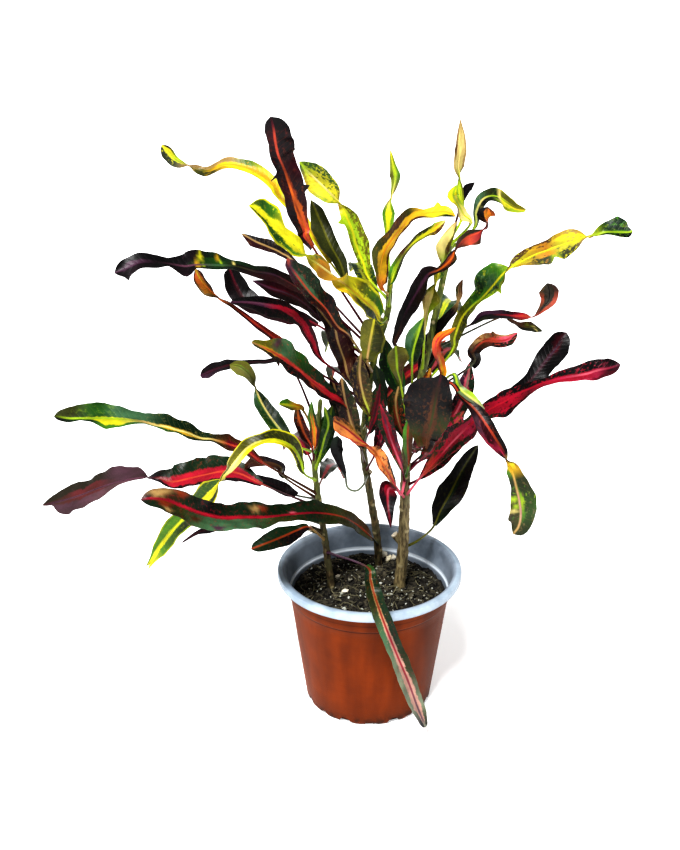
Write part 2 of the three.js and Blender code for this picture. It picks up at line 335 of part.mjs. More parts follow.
// A closed solid from any closed three.js geometry.
function solid(geometry) {
  geometry.deleteAttribute("normal");
  geometry.deleteAttribute("uv");
  const merged = mergeVertices(geometry, 1e-4);
  const faces = [];
  for (let i = 0; i < merged.index.count; i += 3) {
    const [a, b, c] = [0, 1, 2].map((k) => merged.index.getX(i + k));
    if (a !== b && b !== c && c !== a) faces.push(a, b, c);
  }
  const mesh = new wasm.Mesh({
    numProp: 3,
    vertProperties: new Float32Array(merged.attributes.position.array),
    triVerts: new Uint32Array(faces),
  });
  return new wasm.Manifold(mesh);
}

function namedMesh(name, body, material) {
  const { vertProperties, triVerts } = body.getMesh();
  const geometry = new THREE.BufferGeometry();
  geometry.setAttribute("position", new THREE.BufferAttribute(new Float32Array(vertProperties), 3));
  geometry.setIndex(new THREE.BufferAttribute(new Uint32Array(triVerts), 1));
  geometry.computeVertexNormals();
  const mesh = new THREE.Mesh(geometry, material);
  mesh.name = name;
  return mesh;
}

// A lathe body round the Z axis from [radius, height] pairs that start and end on the axis.
function turned(profile, sides) {
  const points = profile.map(([r, z]) => new THREE.Vector2(r, z));
  return new THREE.LatheGeometry(points, sides).rotateX(Math.PI / 2);
}

// Closed skin over rings of points. Each ring runs counter-clockwise about the way ahead, and its
// second half mirrors its first, so that both faces of a blade are split into triangles alike.
function loft(rings) {
  const size = rings[0].length;
  const positions = rings.flat().flatMap((p) => [p.x, p.y, p.z]);
  const faces = [];
  for (let k = 0; k + 1 < rings.length; k += 1) {
    for (let j = 0; j < size; j += 1) {
      const a = k * size + j;
      const b = k * size + ((j + 1) % size);
      const c = b + size;
      const d = a + size;
      if (j < size / 2) faces.push(a, b, c, a, c, d);
      else faces.push(a, b, d, b, c, d);
    }
  }
  const last = (rings.length - 1) * size;
  for (let j = 0; j + 1 < size / 2; j += 1) {
    const [a, b, c, d] = [j, j + 1, size - 2 - j, size - 1 - j];
    faces.push(a, c, b, a, d, c);
    faces.push(last + a, last + b, last + c, last + a, last + c, last + d);
  }
  const geometry = new THREE.BufferGeometry();
  geometry.setAttribute("position", new THREE.Float32BufferAttribute(positions, 3));
  geometry.setIndex(faces);
  return geometry;
}

function smooth(from, to, x) {
  return THREE.MathUtils.smoothstep(x, from, to);
}

// Across and outward directions of a section whose way ahead is given, rolled by an angle.
function sectionFrame(ahead, roll) {
  const across = new THREE.Vector3().crossVectors(ahead, faceUp).normalize();
  const outward = new THREE.Vector3().crossVectors(across, ahead).normalize();
  across.applyAxisAngle(ahead, roll);
  outward.applyAxisAngle(ahead, roll);
  return { across, outward };
}

function curveThrough(points) {
  return new THREE.CatmullRomCurve3(points, false, "catmullrom", 0.5);
}

const stemCurves = {};
for (const [name, row] of Object.entries(stemRows)) {
  stemCurves[name] = curveThrough(row.path.map((p) => new THREE.Vector3(...p)));
}

// The point of a stem at a height above the pot's base.
function onStem(name, height) {
  let low = 0;
  let high = 1;
  for (let i = 0; i < 30; i += 1) {
    const mid = (low + high) / 2;
    if (stemCurves[name].getPoint(mid).z < height) low = mid;
    else high = mid;
  }
  return stemCurves[name].getPoint(low);
}

function stemTube(name, extra) {
  const { radii, path } = stemRows[name];
  const curve = stemCurves[name];
  const rings = [];
  const count = (path.length - 1) * 2;
  for (let k = 0; k <= count; k += 1) {
    const t = k / count;
    const centre = curve.getPoint(t);
    const { across, outward } = sectionFrame(curve.getTangent(t), 0);
    const radius = THREE.MathUtils.lerp(radii[0], radii[1], t) + extra;
    const ring = [];
    for (let j = 0; j < stemSides; j += 1) {
      const angle = (2 * Math.PI * j) / stemSides;
      ring.push(centre.clone()
        .addScaledVector(across, -radius * Math.cos(angle))
        .addScaledVector(outward, radius * Math.sin(angle)));
    }
    rings.push(ring);
  }
  return solid(loft(rings));
}

// The short cut end of an old shoot beside a stem.
function stubBody(name) {
  const { height, radius, length, lean } = stemRows[name].stub;
  const way = new THREE.Vector3(...lean).normalize();
  const geometry = new THREE.CylinderGeometry(radius * 0.9, radius, length, stemSides);
  geometry.translate(0, length / 2, 0);
  geometry.applyQuaternion(new THREE.Quaternion().setFromUnitVectors(THREE.Object3D.DEFAULT_UP, way));
  const foot = onStem(name, height);
  return solid(geometry.translate(foot.x, foot.y, foot.z));
}

function onSheet([across, up, forward]) {
  const point = new THREE.Vector3(across, 0, up);
  return point.lerp(viewer, forward / Math.abs(viewer.y));
}

// Reads a list of numbers at a place between its entries.
function between(values, place) {
  const i = THREE.MathUtils.clamp(Math.floor(place), 0, values.length - 2);
  return THREE.MathUtils.lerp(values[i], values[i + 1], place - i);
}

// How far a blade has rolled about its midrib: a half turn for each point where it turns over.
function rollAt(turnPlaces, length) {
  const parts = turnPlaces.map((at) => smooth(at - turnLength / 2, at + turnLength / 2, length));
  return Math.PI * parts.reduce((sum, part) => sum + part, 0);
}

// A leaf is one loft of six-sided sections: a round stalk that flattens into a waved blade.
function leafBody(stem, row, number) {
  const leaf = { turns: [], bend: [], ...row };
  const ahead = [onStem(stem, leaf.root), ...leaf.bend.map(onSheet)];
  const points = [...ahead, ...leaf.path.map(onSheet)];
  const curve = curveThrough(points);
  curve.arcLengthDivisions = 20 * (points.length - 1);
  const lengths = curve.getLengths();
  const total = lengths[lengths.length - 1];
  const marks = leaf.path.map((_, i) => lengths[20 * (ahead.length + i)]);
  const stalk = marks[0];
  const blade = total - stalk;
  const turnPlaces = leaf.turns.map((turn) => between(marks, turn));
  const step = leaf.turns.length ? turningStep : bladeStep;
  const stalkCount = Math.max(2, Math.round(stalk / stalkStep));
  const sections = [];
  for (let k = 0; k < stalkCount; k += 1) sections.push({ length: (stalk * k) / stalkCount });
  for (let i = 0; i + 1 < marks.length; i += 1) {
    const count = Math.ceil((marks[i + 1] - marks[i]) / step);
    for (let k = 0; k < count; k += 1) {
      sections.push({ place: i + k / count, length: between([marks[i], marks[i + 1]], k / count) });
    }
  }
  sections.push({ place: marks.length - 1, length: total });
  const waves = Math.max(1.5, blade / waveLength);
  const rings = [];
  for (const { place: at, length } of sections) {
    const inBlade = at !== undefined;
    const v = inBlade ? (length - stalk) / blade : 0;
    const share = Math.min(1, length / total);
    const { across, outward } = sectionFrame(curve.getTangentAt(share), rollAt(turnPlaces, length));
    const centre = curve.getPointAt(share);
    const spread = inBlade ? smooth(-0.05, 0.12, v) : 0;
    const halves = [3, 4].map((column) => {
      if (!inBlade) return stalkRadius;
      if (length === total) return tipHalfWidth;
      return Math.max(narrowest, between(leaf.path.map((p) => p[column]), at));
    });
    const edge = THREE.MathUtils.lerp(stalkRadius * 0.5, bladeThickness / 2, spread);
    const middle = THREE.MathUtils.lerp(stalkRadius, bladeThickness / 2, spread);
    const sway = 2 * Math.PI * waves * v + number;
    const ripple = spread * waveHeight * 2;
    const lift = spread * troughDepth * 2;
    const left = (lift + ripple * Math.sin(sway)) * halves[0];
    const right = (lift + ripple * Math.sin(sway + waveLag)) * halves[1];
    const place = (side, height) => centre.clone()
      .addScaledVector(across, side)
      .addScaledVector(outward, height);
    rings.push([
      place(-halves[0], left + edge), place(0, middle), place(halves[1], right + edge),
      place(halves[1], right - edge), place(0, -middle), place(-halves[0], left - edge),
    ]);
  }
  return solid(loft(rings));
}

function leafyStem(name) {
  let body = stemTube(name, 0).add(stubBody(name));
  leafRows[name].forEach((row, number) => {
    body = body.add(leafBody(name, row, number));
  });
  return body;
}

// The wall's outer radius below the stacking step.
function wallRadius(z) {
  const underLip = potHeight - rimBand;
  const slope = (rimRadius - lipOverhang - stepWidth - baseRadius) / underLip;
  return baseRadius + slope * z;
}

function potBody() {
  const bodyTop = rimRadius - lipOverhang;
  const underLip = potHeight - rimBand;
  const stepRadius = wallRadius(stepHeight);
  const profile = [
    [0, 0], [baseRadius - 2, 0], [wallRadius(2), 2],
    [stepRadius, stepHeight], [stepRadius + stepWidth, stepHeight + 1.5],
    [bodyTop, underLip], [rimRadius - 1.2, underLip - 0.6], [rimRadius, underLip + 0.6],
    [rimRadius, potHeight - 1.6], [rimRadius - 1.6, potHeight], [rimRadius - 4.4, potHeight],
    [bodyTop - wall + 0.6, potHeight - 1.8], [bodyTop - wall, underLip - 2],
    [stepRadius + stepWidth - wall, stepHeight + 2.2], [stepRadius - wall, stepHeight + 0.8],
    [wallRadius(cornerHeight) - wall, cornerHeight], [baseRadius - wall - 2, floorThickness],
    [0, floorThickness],
  ];
  let pot = solid(turned(profile, potSides));
  for (let k = 0; k < notchCount; k += 1) {
    const notch = new THREE.CylinderGeometry(notchRadius, notchRadius, 9, 12);
    notch.translate(0, baseRadius, 0);
    notch.rotateZ((2 * Math.PI * (k + 0.5)) / notchCount);
    pot = pot.subtract(solid(notch));
  }
  return pot;
}

// Height of the soil's rough top.
function soilHeight(x, y) {
  const bumps = Math.sin(x * 0.31 + 0.6) * Math.cos(y * 0.27)
    + 0.6 * Math.sin(x * 0.13 - y * 0.19 + 1.3)
    + 0.4 * Math.cos(x * 0.52 + y * 0.44);
  return soilLevel + soilRelief * bumps * 0.5;
}

function soilBody() {
  const inner = (z) => wallRadius(z) - wall - clearance;
  const bottom = floorThickness + clearance;
  const edgeTop = soilLevel - soilRelief;
  const profile = [[0, bottom], [inner(0) - 2.3, bottom], [inner(cornerHeight), cornerHeight + clearance],
    [inner(edgeTop), edgeTop]];
  for (let k = soilRings; k >= 0; k -= 1) {
    profile.push([(inner(soilLevel) - 0.8) * (k / soilRings), soilLevel]);
  }
  const geometry = turned(profile, potSides);
  const place = geometry.attributes.position;
  for (let i = 0; i < place.count; i += 1) {
    if (place.getZ(i) > soilLevel - 0.01) place.setZ(i, soilHeight(place.getX(i), place.getY(i)));
  }
  let soil = solid(geometry);
  for (const name of Object.keys(stemRows)) {
    const hole = stemTube(name, clearance);
    soil = soil.subtract(hole).subtract(hole.translate([0, 0, -clearance]));
  }
  return soil;
}

const croton = new THREE.Group();
croton.add(namedMesh("pot", potBody(), materials.pot));
croton.add(namedMesh("soil", soilBody(), materials.soil));
for (const name of Object.keys(stemRows)) {
  croton.add(namedMesh(`leafy_stem_${name}`, leafyStem(name), materials[name]));
}

export default croton;
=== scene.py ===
import math
import random

import bpy
import numpy as np
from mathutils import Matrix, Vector, noise


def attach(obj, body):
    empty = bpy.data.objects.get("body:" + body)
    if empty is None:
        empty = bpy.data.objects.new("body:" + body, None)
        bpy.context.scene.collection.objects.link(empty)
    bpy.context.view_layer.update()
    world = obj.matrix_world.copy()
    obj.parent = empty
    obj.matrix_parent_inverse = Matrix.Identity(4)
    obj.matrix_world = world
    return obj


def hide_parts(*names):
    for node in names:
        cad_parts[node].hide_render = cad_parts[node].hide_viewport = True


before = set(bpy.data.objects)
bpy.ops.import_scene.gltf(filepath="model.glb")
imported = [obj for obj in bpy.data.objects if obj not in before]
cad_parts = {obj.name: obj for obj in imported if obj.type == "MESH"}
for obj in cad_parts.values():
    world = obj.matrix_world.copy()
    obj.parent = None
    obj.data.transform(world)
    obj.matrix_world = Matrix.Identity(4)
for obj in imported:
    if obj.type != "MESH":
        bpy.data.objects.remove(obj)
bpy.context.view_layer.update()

mm = 0.001
scene = bpy.context.scene


# ---------- small helpers ----------

def selectNone():
    if bpy.context.object and bpy.context.object.mode != "OBJECT":
        bpy.ops.object.mode_set(mode="OBJECT")
    bpy.ops.object.select_all(action="DESELECT")


def selectOnly(piece):
    selectNone()
    piece.select_set(True)
    bpy.context.view_layer.objects.active = piece


def applyModifier(piece, kind, **settings):
    selectOnly(piece)
    modifier = piece.modifiers.new(kind.title(), kind)
    for name, value in settings.items():
        setattr(modifier, name, value)
    bpy.ops.object.modifier_apply(modifier=modifier.name)


def joinAll(pieces, name):
    selectNone()
    for piece in pieces:
        piece.select_set(True)
    bpy.context.view_layer.objects.active = pieces[0]
    if len(pieces) > 1:
        bpy.ops.object.join()
    joined = bpy.context.object
    joined.name = name
    joined.data.name = name
    return joined


def dress(piece, *finishes, smooth=None):  # edges sharper than smooth, in degrees, stay sharp
    piece.data.materials.clear()
    for finish in finishes:
        piece.data.materials.append(finish)
    if smooth:
        selectOnly(piece)
        bpy.ops.object.shade_smooth_by_angle(angle=math.radians(smooth))


def growRings(profile, sides):
    # a turned solid, from its lowest ring on through each (radius, height) of the profile
    radius, z = profile[0]
    selectNone()
    bpy.ops.mesh.primitive_circle_add(vertices=sides, radius=radius * mm,
                                      location=(0, 0, z * mm), fill_type="NGON")
    piece = bpy.context.object
    bpy.ops.object.transform_apply(location=True, rotation=False, scale=False)
    bpy.ops.object.mode_set(mode="EDIT")
    bpy.ops.mesh.select_mode(type="EDGE")
    bpy.ops.mesh.select_all(action="DESELECT")
    bpy.ops.mesh.select_non_manifold(extend=False)
    for nextRadius, nextZ in profile[1:]:
        bpy.ops.mesh.extrude_edges_move(
            TRANSFORM_OT_translate={"value": (0, 0, (nextZ - z) * mm)})
        scale = nextRadius / radius
        bpy.ops.transform.resize(value=(scale, scale, 1), center_override=(0, 0, nextZ * mm))
        radius, z = nextRadius, nextZ
    bpy.ops.mesh.edge_face_add()
    bpy.ops.mesh.select_all(action="SELECT")
    bpy.ops.mesh.normals_make_consistent(inside=False)
    bpy.ops.object.mode_set(mode="OBJECT")
    return piece


def smoothStep(low, high, x):
    t = np.clip((x - low) / (high - low), 0, 1)
    return t * t * (3 - 2 * t)


def linear(hexColour):
    parts = [int(hexColour[i:i + 2], 16) / 255 for i in (0, 2, 4)]
    return [p / 12.92 if p <= 0.04045 else ((p + 0.055) / 1.055) ** 2.4 for p in parts] + [1.0]


def unit(vectors):
    return vectors / np.linalg.norm(vectors, axis=-1, keepdims=True)


class Wire:  # a socket that Python's operators work on
    def __init__(self, tree, socket=None):
        self.tree = tree
        self.socket = socket

    def node(self, kind, settings, sockets, out=0):
        made = self.tree.nodes.new("ShaderNode" + kind)
        for name, value in settings.items():
            if name == "stops":
                ramp = made.color_ramp
                for i, (place, colour) in enumerate(value):
                    stop = ramp.elements[i] if i < 2 else ramp.elements.new(place)
                    stop.position = place
                    stop.color = colour
            else:
                setattr(made, name, value)
        for name, value in sockets.items():
            if isinstance(value, Wire):
                self.tree.links.new(value.socket, made.inputs[name])
            else:                               # a string is a colour in hex
                value = linear(value) if isinstance(value, str) else value
                made.inputs[name].default_value = value
        return Wire(self.tree, made.outputs[out])

    def maths(self, operation, *values):
        return self.node("Math", {"operation": operation}, dict(enumerate(values)))

    def __add__(self, other):
        return self.maths("ADD", self, other)

    def __radd__(self, other):
        return self.maths("ADD", other, self)

    def __sub__(self, other):
        return self.maths("SUBTRACT", self, other)

    def __rsub__(self, other):
        return self.maths("SUBTRACT", other, self)

    def __mul__(self, other):
        return self.maths("MULTIPLY", self, other)

    def __truediv__(self, other):
        return self.maths("DIVIDE", self, other)

    def __abs__(self):
        return self.maths("ABSOLUTE", self)

    def of(self, operation):  # floor, fract, sine and so on
        return self.maths(operation, self)

    def ramp(self, low, high, bottom=0.0, top=1.0):
        return self.node("MapRange", {"interpolation_type": "SMOOTHSTEP"},
                         {0: self, 1: low, 2: high, 3: bottom, 4: top})

    def mix(self, a, b):  # from colour a to colour b
        return self.node("Mix", {"data_type": "RGBA", "clamp_factor": True},
                         {0: self, 6: a, 7: b}, out=2)

    def times(self, colour):
        return self.node("Mix", {"data_type": "RGBA", "blend_type": "MULTIPLY"},
                         {0: 1.0, 6: self, 7: colour}, out=2)

    def parts(self):
        split = self.tree.nodes.new("ShaderNodeSeparateXYZ")
        self.tree.links.new(self.socket, split.inputs[0])
        return [Wire(self.tree, split.outputs[i]) for i in range(3)]

    def vector(self, x, y, z):
        return self.node("CombineXYZ", {}, {0: x, 1: y, 2: z})

    def scaled(self, factors):
        return self.node("VectorMath", {"operation": "MULTIPLY"}, {0: self, 1: factors})

    def noise(self, scale, detail=3.0, roughness=0.5):
        return self.node("TexNoise", {}, {"Vector": self, "Scale": scale, "Detail": detail,
                                          "Roughness": roughness})

    def attribute(self, name, out="Vector"):
        return self.node("Attribute", {"attribute_name": name}, {}, out=out)

    def place(self):  # Object coordinates, in metres
        return self.node("TexCoord", {}, {}, out="Object")


def newMaterial(name, viewColour):
    material = bpy.data.materials.new(name)
    material.use_nodes = True
    material.diffuse_color = viewColour
    shader = material.node_tree.nodes["Principled BSDF"]
    return material, shader, Wire(material.node_tree)


def feed(shader, wire, socket):
    wire.tree.links.new(wire.socket, shader.inputs[socket])


def feedBump(shader, height, strength, distance):
    bump = height.node("Bump", {}, {"Height": height, "Strength": strength, "Distance": distance})
    feed(shader, bump, "Normal")


# ---------- camera ----------

viewSettings = {
    "place": (-24, -958, 677),
    "pitch": 24.2,
    "lens": 57.13,
    "clip": (0.02, 60),
}
bpy.ops.object.camera_add(location=[length * mm for length in viewSettings["place"]],
                          rotation=(math.radians(90 - viewSettings["pitch"]), 0, 0))
camera = bpy.context.object
camera.data.lens = viewSettings["lens"]
camera.data.clip_start, camera.data.clip_end = viewSettings["clip"]
scene.camera = camera
print("camera placed")


# ---------- leaf data ----------

leafColours = {
    "lemon": "CCC428", "gold": "C09822", "amber": "B87818", "cream": "DCCB80", "lime": "9AB428",
    "leaf": "477822", "green": "28501C", "deep": "152C18", "olive": "61601A", "moss": "323616",
    "black": "190F14", "ink": "0C0A0C", "maroon": "380C16", "wine": "581022", "plum": "44243A",
    "mauve": "5C3848", "crimson": "8E142C", "red": "A21C30", "pink": "C85E70", "coral": "BA4A34",
    "orange": "CC6820", "rust": "843618", "brown": "4C2C18", "tan": "A68858", "sand": "C8AE70",
    "grey": "707862", "jade": "46684A", "blush": "B58A7C", "rose": "A02848", "apricot": "E08C48",
}

viewer = np.array(viewSettings["place"], float)
faceUp = np.array([0.0, -0.6, 0.8])            # the way that an untwisted blade faces

stemRows = {
    "left": {
        "radii": (3.4, 1.7),
        "stub": {"height": 148, "radius": 2.8, "length": 14, "lean": (-0.85, -0.25, 0.5)},
        "path": [(-30, 9, 56), (-31, 8, 91), (-34, 6, 122), (-38, 4, 156), (-42, 2, 187),
                 (-44, 0, 214), (-41, -2, 243), (-39, -2, 270)],
    },
    "middle": {
        "radii": (3.4, 2.2),
        "stub": {"height": 186, "radius": 2.0, "length": 6, "lean": (0.5, -0.3, 0.8)},
        "path": [(11, 45, 56), (9, 44, 98), (7, 42, 126), (1, 36, 167), (-5, 30, 211),
                 (-3, 24, 253), (4, 18, 302), (12, 14, 332), (14, 12, 362)],
    },
    "right": {
        "radii": (5.2, 1.8),
        "stub": {"height": 136, "radius": 3.2, "length": 12, "lean": (-0.62, 0.1, 0.78)},
        "path": [(24, 11, 56), (25, 10, 91), (27, 8, 121), (28, 6, 159), (28, 4, 197),
                 (29, 2, 233), (35, 0, 272), (43, 0, 309), (50, 4, 348), (56, 8, 379),
                 (59, 10, 402)],
    },
}

